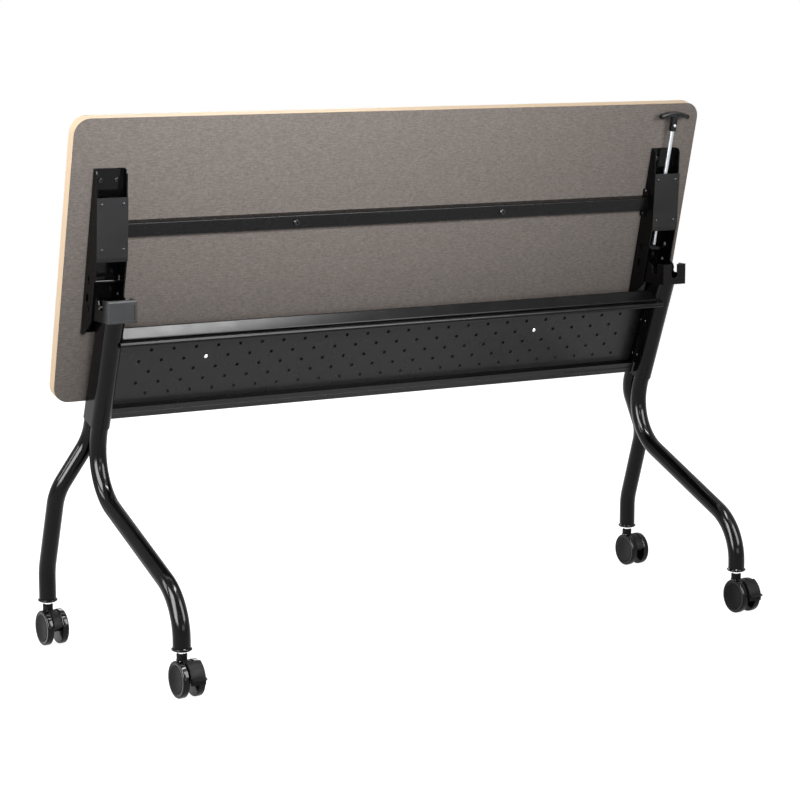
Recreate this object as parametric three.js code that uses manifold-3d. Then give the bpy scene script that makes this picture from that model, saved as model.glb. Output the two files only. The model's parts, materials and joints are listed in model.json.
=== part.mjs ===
// Flip top training table on swivel casters, with its top folded on edge for storage.
// Millimetres. +X runs along the table, +Y from the folded underside to the worktop, +Z is up.
// The origin lies on the floor, under the middle of the whole table.

import * as THREE from "three";
import { mergeVertices } from "three/addons/utils/BufferGeometryUtils.js";
import Module from "manifold-3d";

const wasm = await Module();
wasm.setup();

const { degToRad } = THREE.MathUtils;
const QUARTER = Math.PI / 2;

// Clearances
const SEAT_GAP = 0.3; // between pieces that rest on each other
const TURN_GAP = 0.4; // round a pin that turns or slides
const CHEEK_GAP = 0.8; // between a head and the bracket that straddles it
const WHEEL_GAP = 1.2; // between a wheel and the hood beside it
const CUT_OVERRUN = 1; // reach of a cutter past the face it opens

// Facets
const PIN_SIDES = 12;
const TUBE_SIDES = 14;
const WHEEL_SIDES = 20;
const COLLAR_SIDES = 14;
const ARC_STEPS = 4;
const LEG_BEND_STEPS = 5;
const SHEET_BEND_STEPS = 2;

// Table top
const TOP_LENGTH = 1524;
const TOP_DEPTH = 602;
const TOP_THICKNESS = 25.4;
const TOP_CORNER_R = 35;
const BAND_THICKNESS = 2;
const LAMINATE_THICKNESS = 0.9;
const BACKING_THICKNESS = 0.9;
const BACKING_INSET = 0.4;

// Flip hinge: its height, and its place behind the middle of the wheelbase
const SIDE_INSET = 81; // middle of each post, head and bracket from the end of the top
const HINGE_Y = 85.7;
const HINGE_Z = 723;
const HINGE_DROP = 28.4; // axis below the underside
const HINGE_INSET = 214; // axis from the back edge of the top
const FOLD_ANGLE = degToRad(76.2);
const HINGE_PIN_R = 5;
const PIN_HEAD_R = 6.2;
const PIN_HEAD_LENGTH = 1.6;

// Pivot brackets: channels under the top, lengths from the hinge and depths from the underside
const BRACKET_WIDTH = 68;
const BRACKET_SHEET = 2.5;
const BRACKET_BEND_R = 2.2;
const BRACKET_FRONT = 285;
const BRACKET_FRONT_DEPTH = 19;
const BRACKET_FRONT_R = 10;
const BRACKET_FULL_FROM = 113;
const BRACKET_DEPTH = 50;
const BRACKET_TAPER_FROM = 22;
const BRACKET_TIP = 61;
const BRACKET_TIP_R = 10;
const BRACKET_TIP_DEPTH = 13; // at the middle of the rounded tip
const SPARE_SLOT_Y = -21;
const SPARE_SLOT_LENGTH = 18;

// Cover plates on the open side of the brackets
const COVER_SHEET = 2;
const COVER_LENGTH = 119.5;
const COVER_LIP = 8;
const COVER_INSET = 0.2;

// Cross beam between the brackets
const BEAM_Y = -159;
const BEAM_WIDTH = 30;
const BEAM_DEPTH = 22;
const BEAM_SHEET = 2;
const BEAM_BEND_R = 2.5;
const BEAM_TAB_LENGTH = 64;
const BEAM_TAB_DEPTH = 18;
const BEAM_TAB_SHEET = 3;

// Latch: a bar in the bracket's slot, pulled by a rod and a T handle
const LATCH_Y = -54;
const LATCH_DEPTH = 22;
const LATCH_BAR_R = 4.5;
const LATCH_TRAVEL = 8;
const LATCH_OVERHANG = 1.5;
const LATCH_BOSS_R = 8;
const LATCH_BOSS_LENGTH = 22;
const ROD_R = 4.8;
const ROD_COLLAR_Y = -129;
const ROD_COLLAR_R = 7.8;
const ROD_COLLAR_LENGTH = 6;
const GUIDE_Y = -203;
const GUIDE_LENGTH = 20;
const GUIDE_WIDTH = 28;
const GUIDE_TOP_DEPTH = 31;
const GUIDE_CORNER_R = 4;
const SPRING_WIRE_R = 0.9;
const SPRING_TURNS = 9;
const SPRING_STEPS = 8;
const SPRING_SIDES = 5;

// T handle
const HANDLE_NECK_Y = -331;
const HANDLE_NECK_LENGTH = 36;
const HANDLE_NECK_WIDTH = 13.5;
const HANDLE_NECK_HEIGHT = 13;
const HANDLE_SOCKET = 22;
const BOW_CROWN_Y = -375;
const BOW_WIDTH = 77;
const BOW_R = 93;
const BOW_THICKNESS = 10;
const BOW_HEIGHT = 14;
const BOW_BEVEL = 2.5;

// Heads: cradles on the posts, which the brackets straddle
const HEAD_FRONT_Y = -4.5;
const HEAD_FLOOR_DROP = 22.3; // below the hinge
const HEAD_FRONT_RISE = 23.7; // above the hinge
const HEAD_SHEET = 3;
const HEAD_NOTCH_WIDTH = 16;
const HEAD_NOTCH_DROP = 8.3; // below the hinge
const HOOK_POCKET_BACK = 3; // hook's pocket behind the latched bar's axis
const HOOK_TIP_BACK = 6.7; // hook tip behind the latched bar's axis
const HOOK_TIP_RISE = 6.8;
const HOOK_LEAD_BACK = 10;
const HOOK_LEAD_RISE = 13.8;
const HOOK_TOP_BACK = 21;
const CAP_THICKNESS = 7;
const CAP_EDGE_R = 5;
const CAP_FOOT_R = 2.5;
const CAP_RECESS_MARGIN = 4.5;
const CAP_RECESS_DEPTH = 2;
const CAP_RECESS_R = 3;

// Posts: flat-sided oval tubes that lean forward; places along the lean count from just under the head
const POST_Y = 49.9;
const POST_DROP = 26.3; // below the hinge
const POST_LEAN = degToRad(20.67);
const POST_WALL = 2;
const POST_BOTTOM = -229;
const LEG_INSERT = 70;

// Legs: bent round tubes, two in each post
const LEG_R = 18;
const LEG_WALL = 2;
const LEG_BEND_R = 115;
const LEG_EXIT = 18; // below the post, where the front leg leaves the lean
const WHEELBASE = 508.8;
const FRONT_TOE_IN = 3; // front casters inwards of the posts
const REAR_SPREAD = 65; // rear casters outwards of the posts
const FRONT_KNEE_Y = 146.5;
const FRONT_KNEE_Z = 351.2;
const FRONT_ANKLE_Z = 184.9;
const REAR_HIP = -277; // along the lean
const REAR_KNEE_SPREAD = 63.6;
const REAR_KNEE_Y = 196.3;
const REAR_KNEE_Z = 331;
const REAR_ANKLE_Z = 157.3;

// Ferrules: plugs in the leg ends, with a flange below
const FERRULE_BOTTOM_Z = 88;
const FERRULE_R = 21;
const FERRULE_FLANGE = 6.5;
const FERRULE_CHAMFER = 2.4;
const FERRULE_SHANK = 16;
const FERRULE_ROOM = 2; // free bore above the shank

// Casters with twin wheels
const WHEEL_R = 37;
const WHEEL_WIDTH = 14;
const WHEEL_SHOULDER = 3;
const WHEEL_DISC_R = 29;
const WHEEL_DISC_RECESS = 1;
const WHEEL_RIM = 1.4;
const CASTER_TRAIL = 21;
const AXLE_R = 4;
const AXLE_GRIP = 9; // length of axle in each wheel
const HOOD_WIDTH = 17.2;
const HOOD_R = 35.5;
const HOOD_FRONT = degToRad(170);
const HOOD_BACK_Y = 29;
const HOOD_BACK_LOW = 14;
const HOOD_BOSS_R = 11;
const NECK_R = 11;
const NECK_TOP_Z = 82.3;
const NECK_CHAMFER = 1.2;
const STEM_R = 5.5;
const STEM_COLLAR_R = 8;
const STEM_BOTTOM_Z = 55;
const STEM_TOP_ROOM = 2; // below the top of the ferrule

// Brake pedals on the front casters
const PEDAL_SHEET = 2.6;
const PEDAL_OVERLAP = 13.5; // reach over the wheel beside the hood
const PEDAL_FROM = degToRad(112);
const PEDAL_TO = degToRad(188);
const PEDAL_TIP_REACH = 48; // toe of the pedal from the axle
const PEDAL_TIP_ANGLE = degToRad(172);
const PEDAL_TOE = degToRad(16);

// Upper rail between the posts: a formed sheet with a rolled front edge
const RAIL_SHEET = 1.5;
const RAIL_BEND_R = 2.5;
const RAIL_FLANGE_BOTTOM = -58;
const RAIL_SHOULDER = -21;
const RAIL_RIDGE_Q = -3;
const RAIL_RIDGE_S = -14;
const RAIL_VALLEY_Q = -25.5;
const RAIL_VALLEY_S = -27;
const RAIL_BEAD_Q = -36.5;
const RAIL_BEAD_S = -34;
const RAIL_BEAD_R = 6.2;
const RAIL_BEAD_STOP = 9; // end of the bead before the middle of the post

// Perforated modesty panel below the rail
const PANEL_Q = 12.9; // front face behind the middle of the posts
const PANEL_SHEET = 1.5;
const PANEL_BEND_R = 0.8;
const PANEL_TOP = -24;
const PANEL_LEDGE = -200;
const PANEL_LEDGE_DEPTH = 17;
const PANEL_APRON = 9.5;
const PANEL_GROOVE = 1.5;
const PANEL_LIP = 10.5;
const PANEL_FLANGE_TOP = -64;
const PANEL_FLANGE_DEPTH = 14.5;
const HOLE_R = 3.9;
const HOLE_PITCH = 51;
const HOLE_MARGIN = 30; // plain sheet beside the holes
const HOLE_ROWS = 5;
const HOLE_ROW_PITCH = 25;
const HOLE_FIRST_ROW = -77.5;

// End plates on the posts, which carry the modesty panel
const END_PLATE_SHEET = 2.5;
const END_PLATE_WIDTH = 26;
const END_PLATE_TOP = -62;
const END_PLATE_BOTTOM = -198;
const END_PLATE_CORNER_R = 4;

// Derived sizes
const SIDE_X = TOP_LENGTH / 2 - SIDE_INSET;
const FRONT_STEM_X = SIDE_X - FRONT_TOE_IN;
const REAR_STEM_X = SIDE_X + REAR_SPREAD;
const UNDERSIDE_Z = HINGE_DROP - SEAT_GAP;
const CORE_BOTTOM_Z = HINGE_DROP + BACKING_THICKNESS + SEAT_GAP;
const TOP_Z = HINGE_DROP + TOP_THICKNESS;
const BRACKET_INNER = BRACKET_WIDTH - 2 * BRACKET_SHEET;
const HEAD_WIDTH = BRACKET_INNER - 2 * CHEEK_GAP;
const HEAD_ROUND_R = UNDERSIDE_Z - BRACKET_SHEET - SEAT_GAP;
const HEAD_FLOOR_Z = HINGE_Z - HEAD_FLOOR_DROP;
const HEAD_FRONT_TOP_Z = HINGE_Z + HEAD_FRONT_RISE;
const HEAD_NOTCH_Z = HINGE_Z - HEAD_NOTCH_DROP;
const LATCH_Z = HINGE_DROP - LATCH_DEPTH;
const COVER_FROM = BRACKET_FULL_FROM + COVER_LENGTH;
const GUIDE_BOTTOM_Z = UNDERSIDE_Z - BRACKET_SHEET - SEAT_GAP;
const LEG_SPREAD = LEG_R + SEAT_GAP / 2;
const POST_R = LEG_R + SEAT_GAP + POST_WALL;
const POST_Z = HINGE_Z - POST_DROP;
const POST_INNER_X = SIDE_X - POST_R;
const STEM_Y = WHEELBASE / 2;
const LEG_END_Z = FERRULE_BOTTOM_Z + FERRULE_FLANGE + SEAT_GAP;
const FERRULE_TOP_Z = FERRULE_BOTTOM_Z + FERRULE_FLANGE + FERRULE_SHANK;
const HOOD_HALF = HOOD_WIDTH / 2;
const WHEEL_INNER = HOOD_HALF + WHEEL_GAP;
const END_PLATE_X = POST_INNER_X - SEAT_GAP;
const PANEL_END_X = END_PLATE_X - END_PLATE_SHEET - SEAT_GAP;
const HOLE_COLUMNS = Math.floor((2 * (PANEL_END_X - HOLE_MARGIN)) / HOLE_PITCH);
// The pedals reach further forward than the ferrules reach back, so the frame stands a little behind.
const FRAME_SHIFT_Y = (CASTER_TRAIL + PEDAL_TIP_REACH - FERRULE_R) / 2;

// Finishes
const BLACK_COAT = { color: 0x161617, roughness: 0.32, metalness: 0.25 };
const GREY_COAT = { color: 0x2b2b2e, roughness: 0.42, metalness: 0.25 };
const ZINC = { color: 0xb9bcc0, roughness: 0.3, metalness: 0.95 };
const BLACK_PLASTIC = { color: 0x1a1a1b, roughness: 0.45, metalness: 0 };
const GLOSS_NYLON = { color: 0x0f0f10, roughness: 0.2, metalness: 0 };
const CHIPBOARD = { color: 0xa58d68, roughness: 0.9, metalness: 0 };
const BACKER = { color: 0x7a716b, roughness: 0.85, metalness: 0 };
const MAPLE = { color: 0xe8cfa4, roughness: 0.5, metalness: 0 };

// Solids from geometry, and back

const X_AXIS = new THREE.Vector3(1, 0, 0);
const Y_AXIS = new THREE.Vector3(0, 1, 0);
const Z_AXIS = new THREE.Vector3(0, 0, 1);
const WELD = 1e-4;

function toSolid(geometry) {
  const bare = geometry.clone();
  bare.deleteAttribute("normal");
  bare.deleteAttribute("uv");
  const { index, attributes } = mergeVertices(bare, WELD);
  const kept = [];
  for (let i = 0; i < index.count; i += 3) {
    const [a, b, c] = [index.getX(i), index.getX(i + 1), index.getX(i + 2)];
    if (a !== b && b !== c && c !== a) kept.push(a, b, c);
  }
  return new wasm.Manifold(
    new wasm.Mesh({
      numProp: 3,
      vertProperties: attributes.position.array,
      triVerts: new Uint32Array(kept),
    }),
  );
}

function toGeometry(solid) {
  const { vertProperties, triVerts } = solid.getMesh();
  const geometry = new THREE.BufferGeometry();
  geometry.setAttribute("position", new THREE.BufferAttribute(vertProperties, 3));
  geometry.setIndex(new THREE.BufferAttribute(triVerts, 1));
  geometry.computeVertexNormals();
  return geometry;
}

function addPart(group, name, solid, finish) {
  const mesh = new THREE.Mesh(toGeometry(solid), new THREE.MeshStandardMaterial(finish));
  mesh.name = name;
  group.add(mesh);
  return mesh;
}

// Prisms: an outline drawn across one axis and run along it

function extrude(shape, length, steps) {
  return new THREE.ExtrudeGeometry(shape, { depth: length, bevelEnabled: false, curveSegments: steps });
}

function prismX(shape, from, to, steps = ARC_STEPS) {
  const turn = new THREE.Matrix4().makeBasis(Y_AXIS, Z_AXIS, X_AXIS);
  return toSolid(extrude(shape, to - from, steps).applyMatrix4(turn).translate(from, 0, 0));
}

function prismY(shape, from, to, steps = ARC_STEPS) {
  const turn = new THREE.Matrix4().makeBasis(X_AXIS, Z_AXIS, Y_AXIS.clone().negate());
  return toSolid(extrude(shape, to - from, steps).applyMatrix4(turn).translate(0, to, 0));
}

function prismZ(shape, from, to, steps = ARC_STEPS) {
  return toSolid(extrude(shape, to - from, steps).translate(0, 0, from));
}

function box(x0, x1, y0, y1, z0, z1) {
  const geometry = new THREE.BoxGeometry(x1 - x0, y1 - y0, z1 - z0);
  return toSolid(geometry.translate((x0 + x1) / 2, (y0 + y1) / 2, (z0 + z1) / 2));
}

function cylinderX(radius, from, to, y, z, sides = PIN_SIDES) {
  const geometry = new THREE.CylinderGeometry(radius, radius, to - from, sides);
  return toSolid(geometry.rotateZ(-QUARTER).translate((from + to) / 2, y, z));
}

function cylinderY(radius, from, to, x, z, sides = PIN_SIDES) {
  const geometry = new THREE.CylinderGeometry(radius, radius, to - from, sides);
  return toSolid(geometry.translate(x, (from + to) / 2, z));
}

// A turned piece about Z, from a profile of [radius, height] that runs upwards outside.
function turned(profile, sides = COLLAR_SIDES) {
  const points = profile.map(([radius, height]) => new THREE.Vector2(radius, height));
  return toSolid(new THREE.LatheGeometry(points, sides).rotateX(QUARTER));
}

// The corner radius of a round piece whose flats lie at the given radius.
function cornerRadius(flatRadius, sides) {
  return flatRadius / Math.cos((2 * QUARTER) / sides);
}

// Outlines

function polygon(points) {
  return new THREE.Shape(points.map(([a, b]) => new THREE.Vector2(a, b)));
}

function roundedRect(width, height, radius, centreX = 0, centreY = 0) {
  const [x, y] = [width / 2 - radius, height / 2 - radius];
  const shape = new THREE.Shape();
  shape.absarc(centreX + x, centreY + y, radius, 0, QUARTER);
  shape.absarc(centreX - x, centreY + y, radius, QUARTER, 2 * QUARTER);
  shape.absarc(centreX - x, centreY - y, radius, 2 * QUARTER, 3 * QUARTER);
  shape.absarc(centreX + x, centreY - y, radius, 3 * QUARTER, 4 * QUARTER);
  return shape;
}

function circle(radius, centreX = 0, centreY = 0) {
  return new THREE.Shape().absarc(centreX, centreY, radius, 0, 4 * QUARTER);
}

// A line through the points with each corner between the ends turned into an arc.
function bentLine(points, radius, steps) {
  const line = [points[0]];
  for (let i = 1; i < points.length - 1; i++) {
    const corner = points[i];
    const back = points[i - 1].clone().sub(corner).normalize();
    const ahead = points[i + 1].clone().sub(corner).normalize();
    const half = back.angleTo(ahead) / 2;
    const centre = back.clone().add(ahead).setLength(radius / Math.sin(half)).add(corner);
    const from = back.multiplyScalar(radius / Math.tan(half)).add(corner).sub(centre);
    const to = ahead.multiplyScalar(radius / Math.tan(half)).add(corner).sub(centre);
    const sweep = from.angleTo(to);
    for (let k = 0; k <= steps; k++) {
      const turn = (sweep * k) / steps;
      const point = from.clone().multiplyScalar(Math.sin(sweep - turn) / Math.sin(sweep));
      line.push(point.addScaledVector(to, Math.sin(turn) / Math.sin(sweep)).add(centre));
    }
  }
  line.push(points[points.length - 1]);
  return line;
}

// The section of a folded sheet, from the corners of its middle line.
function sheetSection(corners, thickness, bendRadius) {
  const points = corners.map(([a, b]) => new THREE.Vector3(a, b, 0));
  const line = bentLine(points, bendRadius, SHEET_BEND_STEPS);
  const [left, right] = [[], []];
  line.forEach((point, i) => {
    const after = line[Math.min(i + 1, line.length - 1)].clone();
    const before = line[Math.max(i - 1, 0)].clone();
    const ahead = i < line.length - 1 ? after.sub(point).normalize() : null;
    const behind = i > 0 ? point.clone().sub(before).normalize() : ahead;
    const along = (ahead ?? behind).clone().add(behind).normalize();
    const across = new THREE.Vector2(-along.y, along.x);
    const mitre = thickness / 2 / along.dot(behind);
    left.push([point.x + across.x * mitre, point.y + across.y * mitre]);
    right.push([point.x - across.x * mitre, point.y - across.y * mitre]);
  });
  return polygon([...left, ...right.reverse()]);
}

// Tubes along a bent centre line, with one ring at each of its points
class StationLine extends THREE.Curve {
  constructor(stations) {
    super();
    this.stations = stations;
  }

  getPoint(t, target = new THREE.Vector3()) {
    const place = t * (this.stations.length - 1);
    const i = Math.min(Math.floor(place + WELD), this.stations.length - 2);
    return target.lerpVectors(this.stations[i], this.stations[i + 1], place - i);
  }

  getPointAt(u, target) {
    return this.getPoint(u, target);
  }

  getTangentAt(u, target = new THREE.Vector3()) {
    const i = Math.round(u * (this.stations.length - 1));
    const before = this.stations[Math.max(i - 1, 0)];
    const after = this.stations[Math.min(i + 1, this.stations.length - 1)];
    return target.subVectors(after, before).normalize();
  }
}

function tube(stations, radius, sides) {
  const path = new StationLine(stations);
  return toSolid(
    new THREE.ExtrudeGeometry(circle(radius), {
      steps: stations.length - 1,
      curveSegments: sides / 2,
      extrudePath: path,
      bevelEnabled: false,
    }),
  );
}

// Table top, drawn as in use: the origin is on the hinge axis and the worktop faces up

function topOutline(inset) {
  const length = TOP_LENGTH - 2 * inset;
  const depth = TOP_DEPTH - 2 * inset;
  return roundedRect(length, depth, TOP_CORNER_R - inset, 0, HINGE_INSET - TOP_DEPTH / 2);
}

function backingSheet() {
  return prismZ(topOutline(BACKING_INSET), HINGE_DROP, HINGE_DROP + BACKING_THICKNESS);
}

function tabletopCore() {
  const coreTop = TOP_Z - LAMINATE_THICKNESS - SEAT_GAP;
  return prismZ(topOutline(BAND_THICKNESS + SEAT_GAP), CORE_BOTTOM_Z, coreTop);
}

function edgeBand() {
  const ring = topOutline(0);
  ring.holes.push(topOutline(BAND_THICKNESS));
  return prismZ(ring, CORE_BOTTOM_Z, TOP_Z);
}

function topLaminate() {
  return prismZ(topOutline(BAND_THICKNESS + SEAT_GAP), TOP_Z - LAMINATE_THICKNESS, TOP_Z);
}

// Pivot brackets, centred on x = 0

function bracketSideOutline() {
  const full = HINGE_DROP - BRACKET_DEPTH;
  const front = HINGE_DROP - BRACKET_FRONT_DEPTH;
  const tipY = BRACKET_TIP - BRACKET_TIP_R;
  const tipZ = HINGE_DROP - BRACKET_TIP_DEPTH;
  const rise = Math.atan2(tipZ - full, tipY - BRACKET_TAPER_FROM);
  const run = Math.hypot(tipZ - full, tipY - BRACKET_TAPER_FROM);
  const tangent = rise - Math.asin(BRACKET_TIP_R / run) - QUARTER;
  const shape = new THREE.Shape();
  shape.absarc(-BRACKET_FRONT + BRACKET_FRONT_R, front + BRACKET_FRONT_R, BRACKET_FRONT_R,
    2 * QUARTER, 3 * QUARTER);
  shape.lineTo(-BRACKET_FULL_FROM, full);
  shape.lineTo(BRACKET_TAPER_FROM, full);
  shape.absarc(tipY, tipZ, BRACKET_TIP_R, tangent, 0);
  shape.lineTo(BRACKET_TIP, HINGE_DROP);
  shape.lineTo(-BRACKET_FRONT, HINGE_DROP);
  return shape;
}

// A hole through both flanges, long along the bracket.
function flangeSlot(y, length, z, radius) {
  const shape = new THREE.Shape();
  const run = length / 2 - radius;
  shape.absarc(y + run, z, radius, -QUARTER, QUARTER);
  shape.absarc(y - run, z, radius, QUARTER, 3 * QUARTER);
  return prismX(shape, -BRACKET_WIDTH, BRACKET_WIDTH);
}

function pivotBracket() {
  const half = (BRACKET_WIDTH - BRACKET_SHEET) / 2;
  const web = UNDERSIDE_Z - BRACKET_SHEET / 2;
  const low = HINGE_DROP - BRACKET_DEPTH - BRACKET_SHEET;
  const section = sheetSection([[-half, low], [-half, web], [half, web], [half, low]],
    BRACKET_SHEET, BRACKET_BEND_R);
  const slotR = LATCH_BAR_R + TURN_GAP;
  const slotY = LATCH_Y - LATCH_TRAVEL / 2;
  return prismY(section, -BRACKET_FRONT, BRACKET_TIP)
    .intersect(prismX(bracketSideOutline(), -BRACKET_WIDTH, BRACKET_WIDTH))
    .subtract(flangeSlot(slotY, LATCH_TRAVEL + 2 * slotR, LATCH_Z, slotR))
    .subtract(flangeSlot(SPARE_SLOT_Y, SPARE_SLOT_LENGTH, LATCH_Z, slotR))
    .subtract(cylinderX(HINGE_PIN_R + TURN_GAP, -BRACKET_WIDTH, BRACKET_WIDTH, 0, 0));
}

function hingePin() {
  const reach = BRACKET_WIDTH / 2 + SEAT_GAP;
  const head = reach + PIN_HEAD_LENGTH;
  return cylinderX(HINGE_PIN_R, -head, head, 0, 0)
    .add(cylinderX(PIN_HEAD_R, reach, head, 0, 0))
    .add(cylinderX(PIN_HEAD_R, -head, -reach, 0, 0));
}

function coverPlate() {
  const half = BRACKET_WIDTH / 2 - COVER_INSET;
  const slope = (BRACKET_DEPTH - BRACKET_FRONT_DEPTH) / (BRACKET_FRONT - BRACKET_FULL_FROM);
  const offset = SEAT_GAP + COVER_SHEET / 2;
  const low = HINGE_DROP - BRACKET_DEPTH - offset;
  const high = low + COVER_LENGTH * slope;
  const section = sheetSection(
    [[-COVER_FROM, high], [-BRACKET_FULL_FROM, low], [COVER_LIP - BRACKET_FULL_FROM, low]],
    COVER_SHEET, COVER_SHEET);
  return prismX(section, -half, half);
}

function crossBeam() {
  const end = SIDE_X - BRACKET_WIDTH / 2 - SEAT_GAP;
  const half = (BEAM_WIDTH - BEAM_SHEET) / 2;
  const low = HINGE_DROP - BEAM_DEPTH + BEAM_SHEET / 2;
  const [front, back] = [BEAM_Y - half, BEAM_Y + half];
  const section = sheetSection(
    [[front, UNDERSIDE_Z], [front, low], [back, low], [back, UNDERSIDE_Z]],
    BEAM_SHEET, BEAM_BEND_R);
  const tabZ = UNDERSIDE_Z - BEAM_TAB_DEPTH / 2;
  const tab = roundedRect(BEAM_TAB_LENGTH, BEAM_TAB_DEPTH, BEAM_BEND_R, BEAM_Y, tabZ);
  return prismX(section, -end, end)
    .add(prismX(tab, end - BEAM_TAB_SHEET, end))
    .add(prismX(tab, -end, BEAM_TAB_SHEET - end));
}

// Latch pieces, centred on x = 0

function latchBar() {
  const end = BRACKET_WIDTH / 2 + LATCH_OVERHANG;
  return cylinderX(LATCH_BAR_R, -end, end, LATCH_Y, LATCH_Z);
}

function latchBarWithBoss() {
  const half = LATCH_BOSS_LENGTH / 2;
  return latchBar().add(cylinderX(LATCH_BOSS_R, -half, half, LATCH_Y, LATCH_Z, COLLAR_SIDES));
}

function releaseRod() {
  const low = LATCH_Y - LATCH_BOSS_R - SEAT_GAP;
  const top = HANDLE_NECK_Y - HANDLE_SOCKET + SEAT_GAP;
  const collarFront = ROD_COLLAR_Y - ROD_COLLAR_LENGTH;
  const collar = cylinderY(ROD_COLLAR_R, collarFront, ROD_COLLAR_Y, 0, LATCH_Z);
  return cylinderY(ROD_R, top, low, 0, LATCH_Z).add(collar);
}

function rodGuide() {
  const [front, back] = [GUIDE_Y - GUIDE_LENGTH / 2, GUIDE_Y + GUIDE_LENGTH / 2];
  const top = HINGE_DROP - GUIDE_TOP_DEPTH;
  const middle = (GUIDE_BOTTOM_Z + top) / 2;
  const block = roundedRect(GUIDE_WIDTH, GUIDE_BOTTOM_Z - top, GUIDE_CORNER_R, 0, middle);
  return prismY(block, front, back)
    .subtract(cylinderY(ROD_R + TURN_GAP, front - CUT_OVERRUN, back + CUT_OVERRUN, 0, LATCH_Z));
}

// The coil between the guide and the rod's collar, with its least gap to itself measured on points.
function returnSpring() {
  const meanR = ROD_R + TURN_GAP + SPRING_WIRE_R;
  const back = ROD_COLLAR_Y - ROD_COLLAR_LENGTH - SEAT_GAP - SPRING_WIRE_R;
  const front = GUIDE_Y + GUIDE_LENGTH / 2 + SEAT_GAP + SPRING_WIRE_R;
  const count = SPRING_TURNS * SPRING_STEPS;
  const stations = [];
  for (let i = 0; i <= count; i++) {
    const turn = (4 * QUARTER * i) / SPRING_STEPS;
    const y = front + ((back - front) * i) / count;
    stations.push(new THREE.Vector3(meanR * Math.cos(turn), y, LATCH_Z + meanR * Math.sin(turn)));
  }
  let gap = Infinity;
  for (let i = 0; i < stations.length; i++) {
    for (let k = i + SPRING_STEPS / 2; k < stations.length; k++) {
      gap = Math.min(gap, stations[i].distanceTo(stations[k]) - 2 * SPRING_WIRE_R);
    }
  }
  console.log("return_spring: least gap to itself " + gap.toFixed(2) + " mm");
  const ring = [];
  for (let i = 0; i < SPRING_SIDES; i++) {
    const turn = (4 * QUARTER * i) / SPRING_SIDES;
    ring.push([SPRING_WIRE_R * Math.cos(turn), SPRING_WIRE_R * Math.sin(turn)]);
  }
  return toSolid(
    new THREE.ExtrudeGeometry(polygon(ring), {
      steps: count,
      extrudePath: new StationLine(stations),
      bevelEnabled: false,
    }),
  );
}

function tHandle() {
  const centreY = BOW_CROWN_Y + BOW_R;
  const middleR = BOW_R - BOW_THICKNESS / 2;
  const capR = BOW_THICKNESS / 2 - BOW_BEVEL;
  const sweep = Math.asin((BOW_WIDTH / 2 - BOW_THICKNESS / 2) / middleR);
  const [endX, endY] = [middleR * Math.sin(sweep), -middleR * Math.cos(sweep)];
  const bow = new THREE.Shape();
  bow.absarc(0, 0, middleR + capR, -QUARTER - sweep, -QUARTER + sweep);
  bow.absarc(endX, endY, capR, sweep - QUARTER, sweep + QUARTER);
  bow.absarc(0, 0, middleR - capR, -QUARTER + sweep, -QUARTER - sweep, true);
  bow.absarc(-endX, endY, capR, QUARTER - sweep, 3 * QUARTER - sweep);
  const bevelled = new THREE.ExtrudeGeometry(bow, {
    depth: BOW_HEIGHT - 2 * BOW_BEVEL,
    bevelThickness: BOW_BEVEL,
    bevelSize: BOW_BEVEL,
    bevelSegments: 2,
    curveSegments: ARC_STEPS,
  });
  bevelled.translate(0, centreY, LATCH_Z - BOW_HEIGHT / 2 + BOW_BEVEL);
  const neckEnd = HANDLE_NECK_Y - HANDLE_NECK_LENGTH;
  const neck = roundedRect(HANDLE_NECK_WIDTH, HANDLE_NECK_HEIGHT, BOW_BEVEL, 0, LATCH_Z);
  const socketEnd = HANDLE_NECK_Y - HANDLE_SOCKET;
  const socket = cylinderY(ROD_R + SEAT_GAP, socketEnd, HANDLE_NECK_Y + CUT_OVERRUN, 0, LATCH_Z);
  return toSolid(bevelled).add(prismY(neck, neckEnd, HANDLE_NECK_Y)).subtract(socket);
}

// Heads, centred on x = 0, in the frame's own heights and depths

const BAR_Y = HINGE_Y + LATCH_Y;
const BAR_Z = HINGE_Z + LATCH_Z;

function cheekOutline() {
  const top = HINGE_Z + HEAD_ROUND_R;
  const slotR = LATCH_BAR_R + TURN_GAP;
  const slotFront = BAR_Y - LATCH_TRAVEL - slotR;
  const slotBottom = BAR_Z - slotR;
  const floorTurn = Math.asin((HEAD_FLOOR_Z - HINGE_Z) / HEAD_ROUND_R);
  const shape = new THREE.Shape();
  shape.absarc(HINGE_Y, HINGE_Z, HEAD_ROUND_R, floorTurn, QUARTER);
  shape.lineTo(BAR_Y + HOOK_TOP_BACK, top);
  shape.lineTo(BAR_Y + HOOK_LEAD_BACK, BAR_Z + HOOK_LEAD_RISE);
  shape.lineTo(BAR_Y + HOOK_TIP_BACK, BAR_Z + HOOK_TIP_RISE);
  shape.absarc(BAR_Y + HOOK_POCKET_BACK, BAR_Z, slotR, QUARTER / 2, -QUARTER, true);
  shape.absarc(slotFront + slotR, slotBottom + slotR, slotR, 3 * QUARTER, 2 * QUARTER, true);
  shape.lineTo(slotFront, HEAD_FRONT_TOP_Z);
  shape.lineTo(HEAD_FRONT_Y, HEAD_FRONT_TOP_Z);
  shape.lineTo(HEAD_FRONT_Y, HEAD_FLOOR_Z);
  return shape;
}

// The floor's back edge stops the folded bracket's web.
function headBackY() {
  const drop = HINGE_Z - HEAD_FLOOR_Z - HEAD_SHEET;
  return HINGE_Y + (HEAD_ROUND_R + drop * Math.cos(FOLD_ANGLE)) / Math.sin(FOLD_ANGLE);
}

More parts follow.
